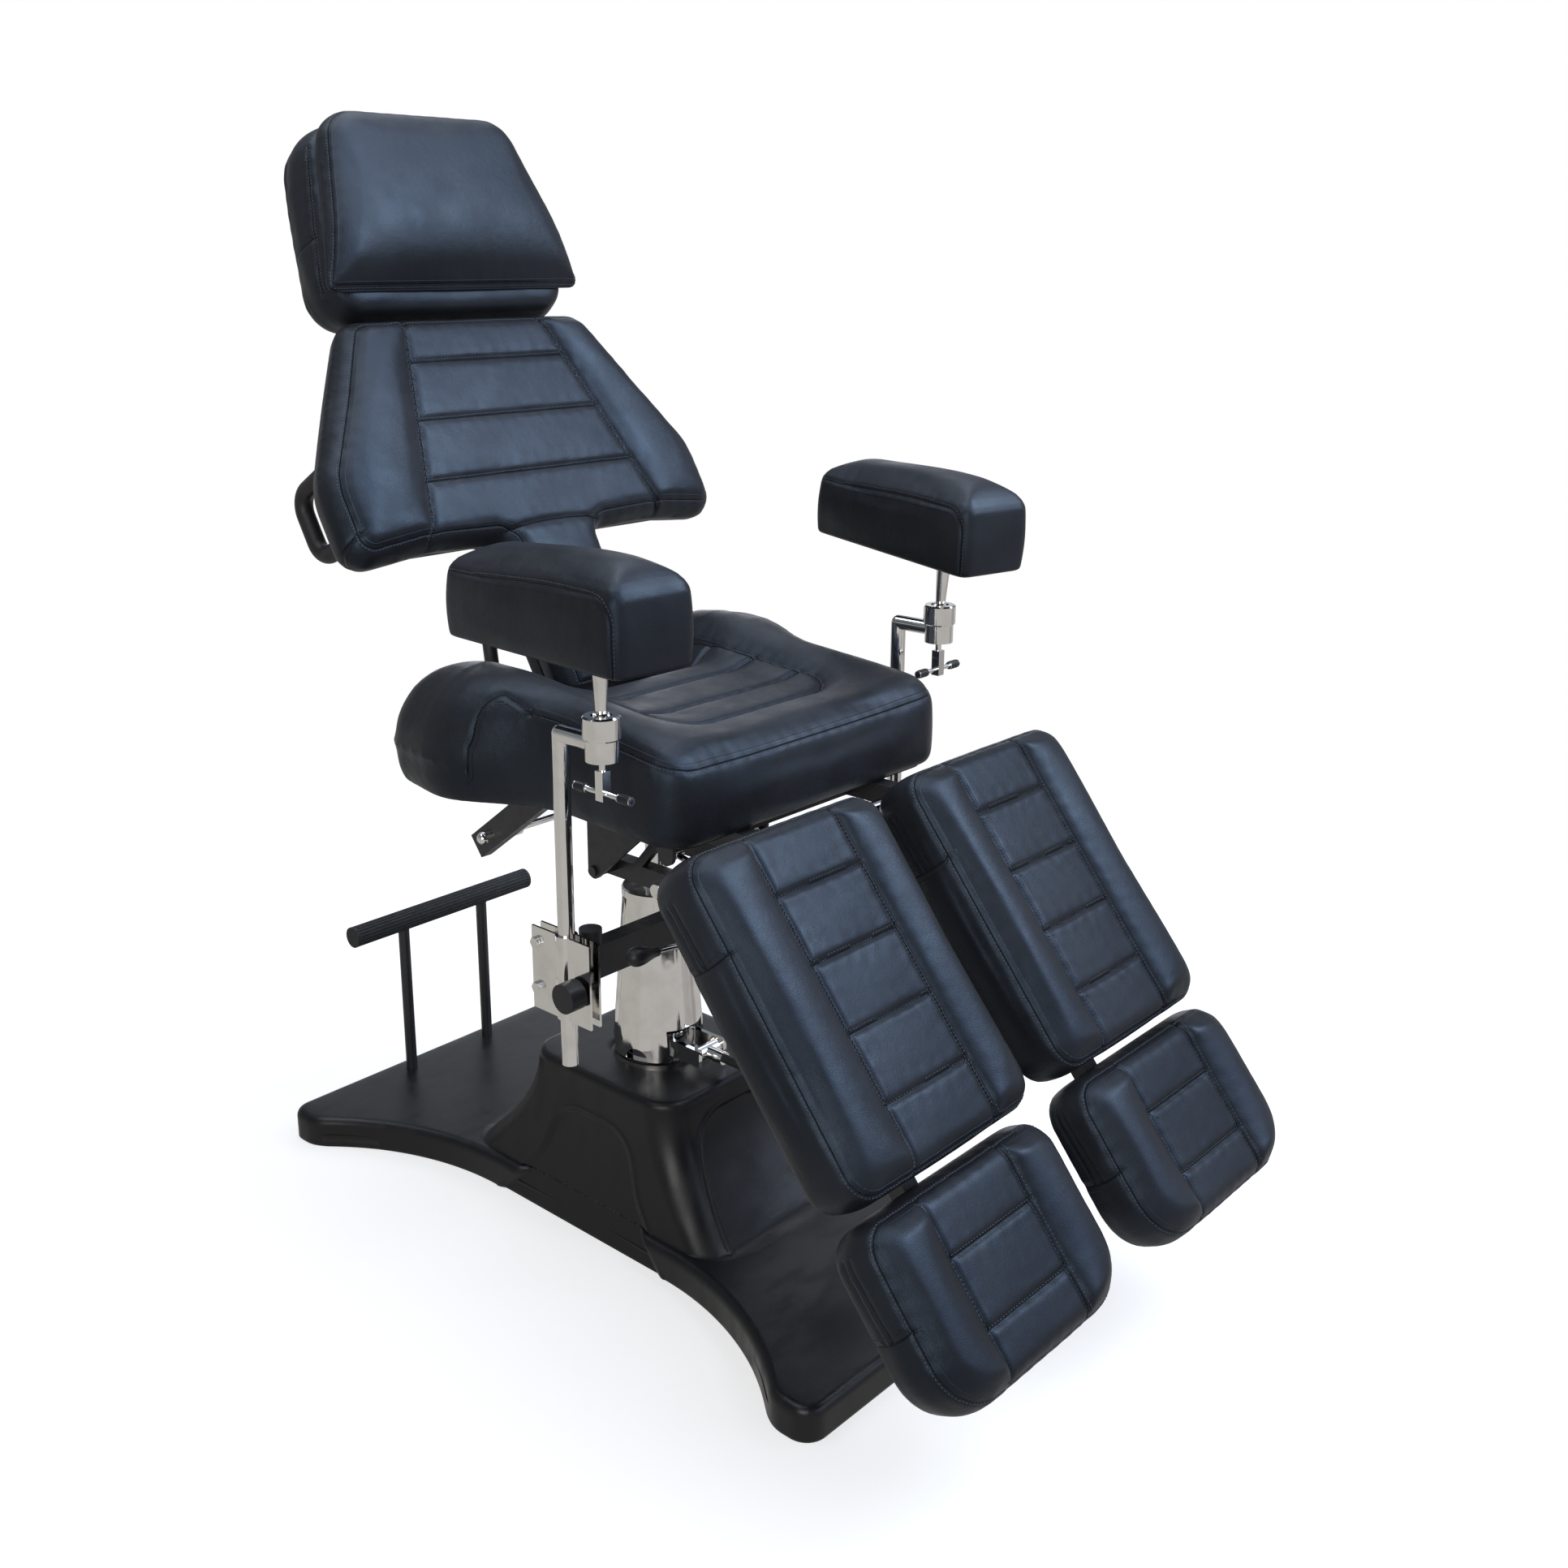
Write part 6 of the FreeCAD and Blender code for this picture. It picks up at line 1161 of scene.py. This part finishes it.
@dataclass(frozen=True)
class ArmPads:
    """The two arm pads: crowned blocks whose side panels are sewn round their front and upper edges."""

    width: float = 0.112
    front: float = -0.096
    back: float = 0.212
    height: float = 0.104
    seam: float = 0.088
    bend: float = 0.032

    def lift(self, points: Array) -> Array:
        """The top falls away a little towards the front end, and more towards the back."""
        share = np.clip((self.front + 0.09 - points[:, 1]) / 0.09, 0.0, 1.0)
        return -0.003 * share ** 2 - 0.011 * step(points[:, 1], -0.010, 0.200)

    def side_seam(self, x: float, low: float) -> Seam:
        """One side panel's seam: up the front edge, round the corner and back along the side."""
        start = self.front + 0.007
        top = low + self.seam
        turn = np.radians(np.linspace(180.0, 90.0, 10))
        up = np.concatenate([np.full(14, start), start + self.bend * (1 + np.cos(turn)),
                             np.linspace(start + self.bend, self.back - 0.010, 30)[1:]])
        out = np.concatenate([np.linspace(low + 0.004, top - self.bend, 14),
                              top - self.bend * (1 - np.sin(turn)), np.full(29, top)])
        return Seam(tuple(zip(np.full(len(up), x), up, out)), 0.0014, (0.0022,))

    def pad(self, name: str, side: int, cup_top: float, lean: float, turn: float) -> Cushion:
        """One arm pad.

        Args:
            name: right or left, from the sitter.
            side: -1 or 1, the side of the chair.
            cup_top: Height of its cup.
            lean: How far its back end is raised, in degrees.
            turn: How far it is turned about its stem, in degrees.
        """
        half = self.width / 2
        corners = ((half, self.front), (half, self.back), (-half, self.back), (-half, self.front))
        ball = cup_top - 0.0145
        low = cup_top + 0.061 - ball
        seams = tuple(self.side_seam(x, low) for x in (-half, half))
        place = Place(lean, (side * 0.309, -0.234, ball), turn)
        return Cushion("arm_leather_" + name, Plan(corners, (0.016,) * 4), low, low + self.height, place,
                       "arm_rest_" + name, "arm_pad_" + name, (), seams,
                       profile=Profile(0.028, 0.024, 0.006, 0.006, 0.002), bolster=0.0, panel=0.0,
                       crown=0.011, crown_reach=0.05, lift=self.lift, rim_rows=(), voxel=0.005, cap=0.003,
                       wrinkle=0.0003)

    def cushions(self) -> list[Cushion]:
        """Both pads."""
        return [self.pad("right", -1, 0.807, 0.0, -4.0), self.pad("left", 1, 0.834, 4.0, -12.0)]


class Upholstery:
    """All the leather cushions, pressed together and sewn one by one."""

    def __init__(self, workshop: Workshop) -> None:
        """List the cushions.

        Args:
            workshop: The materials.
        """
        self.workshop = workshop
        legs = LegPads()
        pads = (SeatPad(), BackPad(), HeadrestPads(), ArmPads())
        self.single = [cushion for pad in pads for cushion in pad.cushions()]
        self.paired = [(make(False), make(True)) for make in (legs.leg, legs.foot)]

    def build(self) -> None:
        """Press, sew and dress every cushion."""
        first = self.single + [pair[0] for pair in self.paired]
        for cushion in first:
            cushion.make_blank()
        self.press(first)
        for cushion in self.single:
            cushion.dress(self.workshop, cushion.sew())
        for one, other in self.paired:
            shape = one.sew()
            one.dress(self.workshop, shape)
            other.dress(self.workshop, shape)

    def press(self, cushions: list[Cushion]) -> None:
        """Blow every blank up as cloth at once, then keep the shapes."""
        scene = bpy.context.scene
        for cushion in cushions:
            cushion.start_press()
        for number in range(1, PRESS_FRAMES + 1):
            scene.frame_set(number)
        for cushion in cushions:
            cushion.end_press()
        scene.frame_set(1)
        LOG.info("pressed %d cushions", len(cushions))


def turned(name: str, start: Triple, direction: Triple, profile: Array, sides: int = 40) -> bpy.types.Object:
    """Make a turned piece: a ring at each (along, radius) of the profile, and a cap at both ends.

    Args:
        name: The object's name.
        start: Where the profile begins.
        direction: Which way it runs.
        profile: Rows of distance along and radius.
        sides: Points round each ring.

    Returns:
        The object.
    """
    axis = np.array(direction) / np.linalg.norm(direction)
    other = np.cross(axis, (0.0, 0.0, 1.0) if abs(axis[2]) < 0.9 else (1.0, 0.0, 0.0))
    other /= np.linalg.norm(other)
    turn = np.linspace(0.0, 2 * math.pi, sides, endpoint=False)[:, None]
    around = np.cos(turn) * other + np.sin(turn) * np.cross(axis, other)
    points = np.array(start) + profile[:, :1, None] * axis + profile[:, 1:, None] * around
    faces = grid_faces(len(profile), sides, True).tolist()
    last = (len(profile) - 1) * sides
    faces += [list(range(sides))[::-1], list(range(last, last + sides))]
    return new_object(name, points.reshape(-1, 3), faces)


@dataclass(frozen=True)
class HandGrips:
    """The dark plastic on the metal handles: a teardrop on the release lever, and tips on the tees."""

    pivot: Triple = (-0.112, -0.250, 0.498)
    lever: Triple = (-0.135, 0.0, 0.017)
    grip_length: float = 0.047
    grip_radius: float = 0.0116
    neck_radius: float = 0.0056
    tee_height: float = 0.718
    tee_rise: float = 0.027
    tee_spot: tuple[float, float] = (0.309, -0.234)
    tip_start: float = 0.0245
    tip_length: float = 0.0210
    tip_radius: float = 0.0057

    def teardrop(self, workshop: Workshop) -> None:
        """The lever's grip: the radius swells by a smooth step, and its end is a half ellipse."""
        along = np.linspace(0.0, 1.0, 40)
        swell = self.neck_radius + (self.grip_radius - self.neck_radius) * step(along, 0.0, 0.72)
        end = np.sqrt(np.maximum(1 - np.clip((along - 0.70) / 0.30, 0.0, 1.0) ** 2, 0.0004))
        start = np.array(self.pivot) + np.array(self.lever) * 0.985
        profile = np.stack([along * self.grip_length, swell * end], 1)
        grip = turned("release_lever_grip", tuple(start), self.lever, profile)
        workshop.dress(grip, Finish.KNOB, "release")

    def tip(self, workshop: Workshop, name: str, body: str, spot: Triple,
            direction: Triple) -> None:
        """One tip: a short rod with rounded ends, by a ninth power of the distance from its middle.

        Args:
            workshop: The materials.
            name: The tip's name.
            body: The handle's body.
            spot: Where it begins.
            direction: Which way it points.
        """
        along = np.linspace(0.0, 1.0, 22)
        radius = self.tip_radius * np.sqrt(np.maximum(1 - np.abs(2 * along - 1) ** 9, 0.004))
        profile = np.stack([along * self.tip_length, radius], 1)
        workshop.dress(turned(name, spot, direction, profile), Finish.KNOB, body)

    def build(self, workshop: Workshop) -> None:
        """All the grips."""
        self.teardrop(workshop)
        across, y = self.tee_spot
        for side, end in (("near", -1), ("far", 1)):
            self.tip(workshop, "tee_tip_right_" + side, "tee_right",
                     (-across, y + end * self.tip_start, self.tee_height), (0.0, end, 0.0))
            self.tip(workshop, "tee_tip_left_" + side, "tee_left",
                     (across + end * self.tip_start, y, self.tee_height + self.tee_rise), (end, 0.0, 0.0))
        LOG.info("hand grips: one teardrop and four tips")


@dataclass(frozen=True)
class MouldedCover:
    """The base's cover: an hourglass rim, flat wings, and a flared pedestal with arched recesses."""

    half_length: float = 0.515
    half_width: float = 0.280
    waist: float = 0.163
    toe: float = 0.058
    toe_angle: float = 40.0
    plan_radii: Triple = (0.028, 0.050, 0.420)
    lift: float = 0.001
    wing_top: float = 0.045
    wing_edge: float = 0.012
    platform: tuple[float, float] = (0.125, 0.139)
    foot: tuple[float, float] = (0.163, 0.295)
    corner: float = 0.045
    platform_top: float = 0.218
    platform_edge: float = 0.010
    flare: float = 1.8
    hole: float = 0.0608
    wall_thick: float = 0.006
    recess: float = 0.0038
    bead: float = 0.0019
    lip: float = 0.020
    hole_depth: float = 0.012
    columns: int = 960
    side_rows: int = 11
    edge_rows: int = 6
    wall_rows: int = 56
    wing_rows: int = 11
    plate_rows: int = 6

    def plan(self) -> Plan:
        """The hourglass plan of the rim."""
        toe = self.half_length - self.toe
        flare = toe - (self.half_width - self.waist) / math.tan(math.radians(self.toe_angle))
        half = ((self.half_width, -self.half_length), (self.half_width, -toe), (self.waist, -flare),
                (self.waist, flare), (self.half_width, toe), (self.half_width, self.half_length))
        return Plan.mirrored(half, self.plan_radii + self.plan_radii[::-1])

    def stations(self) -> tuple[Array, Array]:
        """Where the columns stand on the rim, closer together at the waist than at the ends.

        Returns:
            Each column's place in the list of the rim's points, and the way travelled to it, as a share.
        """
        ring = self.plan().ring(0.0)
        ring = np.concatenate([ring, ring[:1]])
        steps = np.linalg.norm(np.diff(ring, axis=0), axis=1)
        weight = 1.0 - 0.4 * step(np.abs(ring[1:, 1]), 0.30, 0.42)
        travelled = np.concatenate([[0.0], np.cumsum(steps * weight)])
        share = np.linspace(0.0, 1.0, self.columns, endpoint=False)
        return np.interp(share * travelled[-1], travelled, np.arange(len(ring))), share

    def rim(self, inset: float) -> Array:
        """The rim's points at every column, moved in by an inset."""
        ring = self.plan().ring(inset)
        ring = np.concatenate([ring, ring[:1]])
        places, _ = self.stations()
        return np.stack([np.interp(places, np.arange(len(ring)), ring[:, axis]) for axis in (0, 1)], 1)

    def directions(self) -> Array:
        """Unit vectors of the columns: through the rim's points at the waist, evenly spread at the ends."""
        rim = self.rim(0.0)
        _, share = self.stations()
        angle = np.arctan2(rim[:, 1], rim[:, 0])
        angle = np.where(rim[:, 0] > 0, angle, np.mod(angle, 2 * math.pi))
        waist = np.abs(rim[:, 1]) < 0.25
        known, turned_by = share[waist], angle[waist]
        known = np.concatenate([known[-1:] - 1, known, known[:1] + 1])
        turned_by = np.concatenate([turned_by[-1:] - 2 * math.pi, turned_by, turned_by[:1] + 2 * math.pi])
        angle = np.interp(share, known, turned_by)
        return np.stack([np.cos(angle), np.sin(angle)], 1)

    def halves(self, height: Array) -> Array:
        """The pedestal's half sizes at a height, from the platform's to the foot's by a power curve."""
        low, high = self.lift, self.platform_top - self.platform_edge
        share = (1 - np.clip((height - low) / (high - low), 0.0, 1.0)) ** self.flare
        platform, foot = np.array(self.platform), np.array(self.foot)
        return platform + (foot - platform) * share[..., None]

    def pedestal_reach(self, aim: Array, height: Array, inset: Array) -> Array:
        """How far out the pedestal's wall lies.

        The wall is a rectangle with rounded corners. The distance along each direction is found by halving.

        Args:
            aim: Unit directions, the same for every row or each row's own.
            height: Heights, one for each row and direction.
            inset: How far inside the wall, one for each row and direction.

        Returns:
            The distances, shaped as the heights.
        """
        inner = self.halves(height) - self.corner
        low, high = np.zeros(height.shape), np.full(height.shape, 0.6)
        for _ in range(24):
            middle = (low + high) / 2
            over = np.abs(middle[..., None] * aim) - inner
            beyond = np.linalg.norm(np.maximum(over, 0.0), axis=-1) + np.minimum(over.max(-1), 0.0)
            outside = beyond - self.corner > -inset
            low, high = np.where(outside, low, middle), np.where(outside, middle, high)
        return (low + high) / 2

    def arch_gap(self, aim: Array, reach: Array, height: Array) -> Array:
        """How far inside an arch's outline each point of the wall lies, negative outside."""
        side = Plan.mirrored(((0.165, -0.004), (0.092, 0.080), (0.064, 0.158)), (0.0015, 0.090, 0.055))
        end = Plan.mirrored(((0.108, 0.047), (0.062, 0.187)), (0.006, 0.055))
        spot = reach[..., None] * aim
        part = np.abs(spot) / self.halves(height)
        gaps = [arch.edge_distance(np.stack([spot[..., axis].ravel(), height.ravel()], 1))
                for arch, axis in ((side, 1), (end, 0))]
        return np.where(part[..., 0] > part[..., 1], *(gap.reshape(height.shape) for gap in gaps))

    def wall(self, aim: Array, height: Array, rim: Array | None) -> Array:
        """The outer wall with its arches set back and a raised bead round them.

        The set-back is a smooth step of the distance into the arch; the bead is a bell curve outside it.

        Args:
            aim: Unit directions.
            height: Heights.
            rim: How far out the rim lies, where it does.

        Returns:
            Flat points of the wall.
        """
        pedestal = self.pedestal_reach(aim, height, np.zeros(height.shape))
        outer = pedestal if rim is None else np.maximum(pedestal, rim)
        gap = self.arch_gap(aim, outer, height)
        inner = self.pedestal_reach(aim, height, np.full(height.shape, self.recess))
        share = step(gap, -0.0010, 0.0030)
        bead = self.bead * np.exp(-((gap + 0.0042) / 0.0026) ** 2) * step(outer - pedestal, 0.004, 0.0)
        return (outer * (1 - share) + inner * share + bead)[..., None] * aim

    def surface(self) -> Array:
        """All the rows of the cover, from its inner lip, over the wings and the pedestal, into the hole."""
        aim = self.directions()
        ones = np.ones(len(aim))
        turn = np.linspace(0.0, math.pi / 2, self.edge_rows + 1)[1:]
        insets = np.concatenate([np.zeros(self.side_rows), self.wing_edge * (1 - np.cos(turn))])
        levels = np.concatenate([np.linspace(self.lift, self.wing_top - self.wing_edge, self.side_rows),
                                 self.wing_top - self.wing_edge * (1 - np.sin(turn))])[:, None] * ones
        rims = np.stack([self.rim(inset) for inset in insets])
        reach = np.linalg.norm(rims, axis=-1)
        side = self.wall(rims / reach[..., None], levels, reach)
        wall_top = self.platform_top - self.platform_edge
        high = np.linspace(self.wing_top, wall_top, self.wall_rows)[:, None] * ones
        pedestal = self.wall(aim, high, None)
        top_levels = (self.platform_top - self.platform_edge * (1 - np.sin(turn)))[:, None] * ones
        inset = (self.platform_edge * (1 - np.cos(turn)))[:, None] * ones
        top = self.pedestal_reach(aim, top_levels, inset)[..., None] * aim
        share = np.linspace(0.0, 1.0, self.wing_rows + 2)[1:-1, None, None]
        wing = side[-1] * (1 - share) + pedestal[0] * share
        share = np.linspace(0.0, 1.0, self.plate_rows + 1)[1:, None, None]
        plate = top[-1] * (1 - share) + self.hole * aim * share
        lip = side[:1] - self.wall_thick * rims[:1] / reach[:1, :, None]
        hole = self.hole * aim[None]
        flat = np.concatenate([lip, lip, side, wing, pedestal, top, plate, hole, hole])
        ends = [[ones * value] for value in (self.lip, self.lift, self.platform_top - self.lift,
                                             self.platform_top - self.hole_depth)]
        height = np.concatenate([*ends[:2], levels, np.full(wing.shape[:2], self.wing_top), high, top_levels,
                                 np.full(plate.shape[:2], self.platform_top), *ends[2:]])
        return np.concatenate([flat, height[..., None]], -1)

    def build(self, workshop: Workshop) -> None:
        """Make the cover as one closed-round surface, with the points that coincide merged."""
        rows = self.surface()
        faces = grid_faces(rows.shape[0], rows.shape[1], True)
        cover = new_object("moulded_cover", rows.reshape(-1, 3), faces)
        shell = bmesh.new()
        shell.from_mesh(cover.data)
        bmesh.ops.remove_doubles(shell, verts=shell.verts, dist=0.00002)
        shell.to_mesh(cover.data)
        shell.free()
        workshop.dress(cover, Finish.COVER, "base", ("base_cover",))
        LOG.info("moulded cover: %d faces", len(cover.data.polygons))


@dataclass(frozen=True)
class Glow:
    """A soft patch of the room's light, seen in reflections and lighting the chair."""

    aim: Triple
    faint: float
    full: float
    colour: Triple


@dataclass(frozen=True)
class Studio:
    """A white backdrop, a pale floor that keeps a soft shadow, soft lamps and the camera."""

    lens: float = 37.893
    shift_x: float = 0.02785
    shift_y: float = -0.0310
    stand: Triple = (-1.473, -1.503, 1.284)
    yaw: float = 42.47
    pitch: float = 16.25
    ground: Triple = (0.46, 0.45, 0.44)
    horizon: Triple = (0.36, 0.36, 0.37)
    sky: Triple = (0.20, 0.215, 0.24)
    heights: Triple = (0.44, 0.52, 0.70)
    least_light: float = 0.05
    floor_radius: float = 3.0
    floor_fade: tuple[float, float] = (1.1, 2.6)
    floor_paint: float = 0.42
    floor_glow: float = 0.62
    window: Glow = Glow((0.33, -0.60, 0.73), 0.74, 0.95, (1.85, 2.15, 2.80))
    doorway: Glow = Glow((0.66, 0.74, 0.04), 0.950, 0.99, (1.30, 1.33, 1.45))
    skylight: Glow = Glow((0.50, 0.40, 0.76), 0.945, 0.99, (1.60, 1.68, 1.90))
    doorpost: Glow = Glow((0.80, -0.53, -0.28), 0.960, 0.985, (-0.14, -0.14, -0.13))
    corner: Glow = Glow((-0.74, 0.67, -0.10), 0.40, 0.90, (-0.04, -0.04, -0.05))

    @staticmethod
    def stand_up(name: str, data: bpy.types.ID, spot: Triple, look: Vector) -> bpy.types.Object:
        """Put a camera or a lamp at a spot, looking one way."""
        thing = bpy.data.objects.new(name, data)
        thing.location = spot
        thing.rotation_mode = "QUATERNION"
        thing.rotation_quaternion = look.to_track_quat("-Z", "Y")
        bpy.context.scene.collection.objects.link(thing)
        return thing

    def camera(self) -> None:
        """Place the camera at the photo's viewpoint."""
        data = bpy.data.cameras.new("camera")
        data.sensor_width = 36.0
        data.lens = self.lens
        data.shift_x, data.shift_y = self.shift_x, self.shift_y
        data.clip_end = 50.0
        yaw, pitch = math.radians(self.yaw), math.radians(self.pitch)
        look = Vector((math.cos(yaw) * math.cos(pitch), math.sin(yaw) * math.cos(pitch), -math.sin(pitch)))
        bpy.context.scene.camera = self.stand_up("camera", data, self.stand, look)

    def lamp(self, name: str, spot: Triple, aim: Triple, size: float, power: float, colour: Triple) -> None:
        """Hang one soft square lamp.

        Args:
            name: Its name.
            spot: Where it hangs.
            aim: What it points at.
            size: Its side.
            power: Its power in watts.
            colour: Its colour.
        """
        data = bpy.data.lights.new(name, "AREA")
        data.size, data.energy, data.color = size, power, colour
        self.stand_up(name, data, spot, Vector(aim) - Vector(spot))

    def world(self) -> None:
        """White to the camera; around the object, a pale ground, a dim sky and soft patches of light."""
        world = bpy.data.worlds.new("room")
        bpy.context.scene.world = world
        world.use_nodes = True
        tree = world.node_tree
        tree.nodes.clear()
        where = tree.nodes.new("ShaderNodeTexCoord").outputs["Generated"]
        split = add_node(tree, "ShaderNodeSeparateXYZ", {0: where})
        height = add_node(tree, "ShaderNodeMapRange", {"Value": split.outputs["Z"], "From Min": -1.0})
        ramp = add_node(tree, "ShaderNodeValToRGB", {"Fac": height.outputs["Result"]})
        stops = ramp.color_ramp.elements
        low, middle, high = self.heights
        stops[0].position, stops[0].color = low, (*self.ground, 1.0)
        stops[1].position, stops[1].color = high, (*self.sky, 1.0)
        stops.new(middle).color = (*self.horizon, 1.0)
        light = ramp.outputs["Color"]
        for glow in (self.window, self.doorway, self.skylight, self.doorpost, self.corner):
            light = self.add_glow(tree, where, light, glow)
        room = add_node(tree, "ShaderNodeBackground", {"Color": light})
        white = add_node(tree, "ShaderNodeBackground", {"Color": (1.0, 1.0, 1.0, 1.0)})
        rays = tree.nodes.new("ShaderNodeLightPath").outputs
        shown = add_node(tree, "ShaderNodeMath",
                         {0: rays["Is Camera Ray"], 1: rays["Is Transmission Ray"]}, operation="MAXIMUM")
        mix = add_node(tree, "ShaderNodeMixShader",
                       {0: shown.outputs[0], 1: room.outputs[0], 2: white.outputs[0]})
        add_node(tree, "ShaderNodeOutputWorld", {"Surface": mix.outputs[0]})

    def add_glow(self, tree: bpy.types.NodeTree, where: Socket, light: Socket, glow: Glow) -> Socket:
        """Add one patch of light to the room.

        Args:
            tree: The world's nodes.
            where: The direction looked in.
            light: The light so far.
            glow: The patch, whose strength is a smooth step of the cosine to its aim.

        Returns:
            The light with the patch.
        """
        aim = Vector(glow.aim).normalized()
        toward = add_node(tree, "ShaderNodeVectorMath", {0: where, 1: aim}, operation="DOT_PRODUCT")
        span = {"Value": toward.outputs["Value"], "From Min": glow.faint, "From Max": glow.full}
        strength = add_node(tree, "ShaderNodeMapRange", span, interpolation_type="SMOOTHSTEP")
        parts = {0: glow.colour, 1: strength.outputs["Result"], 2: light}
        colour = add_node(tree, "ShaderNodeVectorMath", parts, operation="MULTIPLY_ADD")
        parts = {0: colour.outputs[0], 1: (self.least_light,) * 3}
        return add_node(tree, "ShaderNodeVectorMath", parts, operation="MAXIMUM").outputs[0]

    def floor(self) -> None:
        """A round pale floor that fades into the backdrop and isn't seen in reflections."""
        turn = np.linspace(0.0, 2 * math.pi, 96, endpoint=False)
        ring = np.stack([self.floor_radius * np.cos(turn), self.floor_radius * np.sin(turn),
                         np.zeros_like(turn)], 1)
        floor = new_object("studio_floor", ring, [list(range(len(turn)))], False)
        material = bpy.data.materials.new("pale_floor")
        material.use_nodes = True
        tree = material.node_tree
        tree.nodes.clear()
        spot = tree.nodes.new("ShaderNodeTexCoord").outputs["Object"]
        length = add_node(tree, "ShaderNodeVectorMath", {0: spot}, operation="LENGTH")
        near, far = self.floor_fade
        fade = add_node(tree, "ShaderNodeMapRange", {"Value": length.outputs["Value"], "From Min": near,
                                                     "From Max": far}, interpolation_type="SMOOTHSTEP")
        rays = tree.nodes.new("ShaderNodeLightPath").outputs
        hidden = add_node(tree, "ShaderNodeMath", {0: fade.outputs["Result"], 1: rays["Is Glossy Ray"]},
                          operation="MAXIMUM")
        paint = add_node(tree, "ShaderNodeBsdfDiffuse", {"Color": (*(self.floor_paint,) * 3, 1.0)})
        glow = add_node(tree, "ShaderNodeEmission", {"Strength": self.floor_glow})
        both = add_node(tree, "ShaderNodeAddShader", {0: paint.outputs[0], 1: glow.outputs[0]})
        seen = add_node(tree, "ShaderNodeMixShader",
                        {0: rays["Is Camera Ray"], 1: paint.outputs[0], 2: both.outputs[0]})
        clear = tree.nodes.new("ShaderNodeBsdfTransparent")
        mix = add_node(tree, "ShaderNodeMixShader",
                       {0: hidden.outputs[0], 1: seen.outputs[0], 2: clear.outputs[0]})
        add_node(tree, "ShaderNodeOutputMaterial", {"Surface": mix.outputs[0]})
        floor.data.materials.append(material)

    def build(self) -> None:
        """Set the stage."""
        bpy.context.scene.view_settings.view_transform = "Standard"
        self.world()
        self.floor()
        self.camera()
        self.lamp("key", (1.2, -1.8, 2.8), (0.0, -0.1, 0.7), 1.6, 68.0, (0.86, 0.92, 1.0))
        self.lamp("top", (-0.4, 0.3, 3.0), (0.0, 0.0, 0.6), 2.2, 48.0, (0.92, 0.95, 1.0))
        self.lamp("fill", (-2.7, -1.5, 1.5), (0.0, 0.0, 0.6), 1.6, 38.0, (1.0, 0.97, 0.94))


def main() -> None:
    """Build the chair's looks, the studio and the camera."""
    logging.basicConfig(level=logging.INFO, format="%(name)s: %(message)s")
    workshop = Workshop()
    workshop.dress_nodes()
    MouldedCover().build(workshop)
    HandGrips().build(workshop)
    Upholstery(workshop).build()
    Studio().build()


if __name__ == "__main__":
    main()
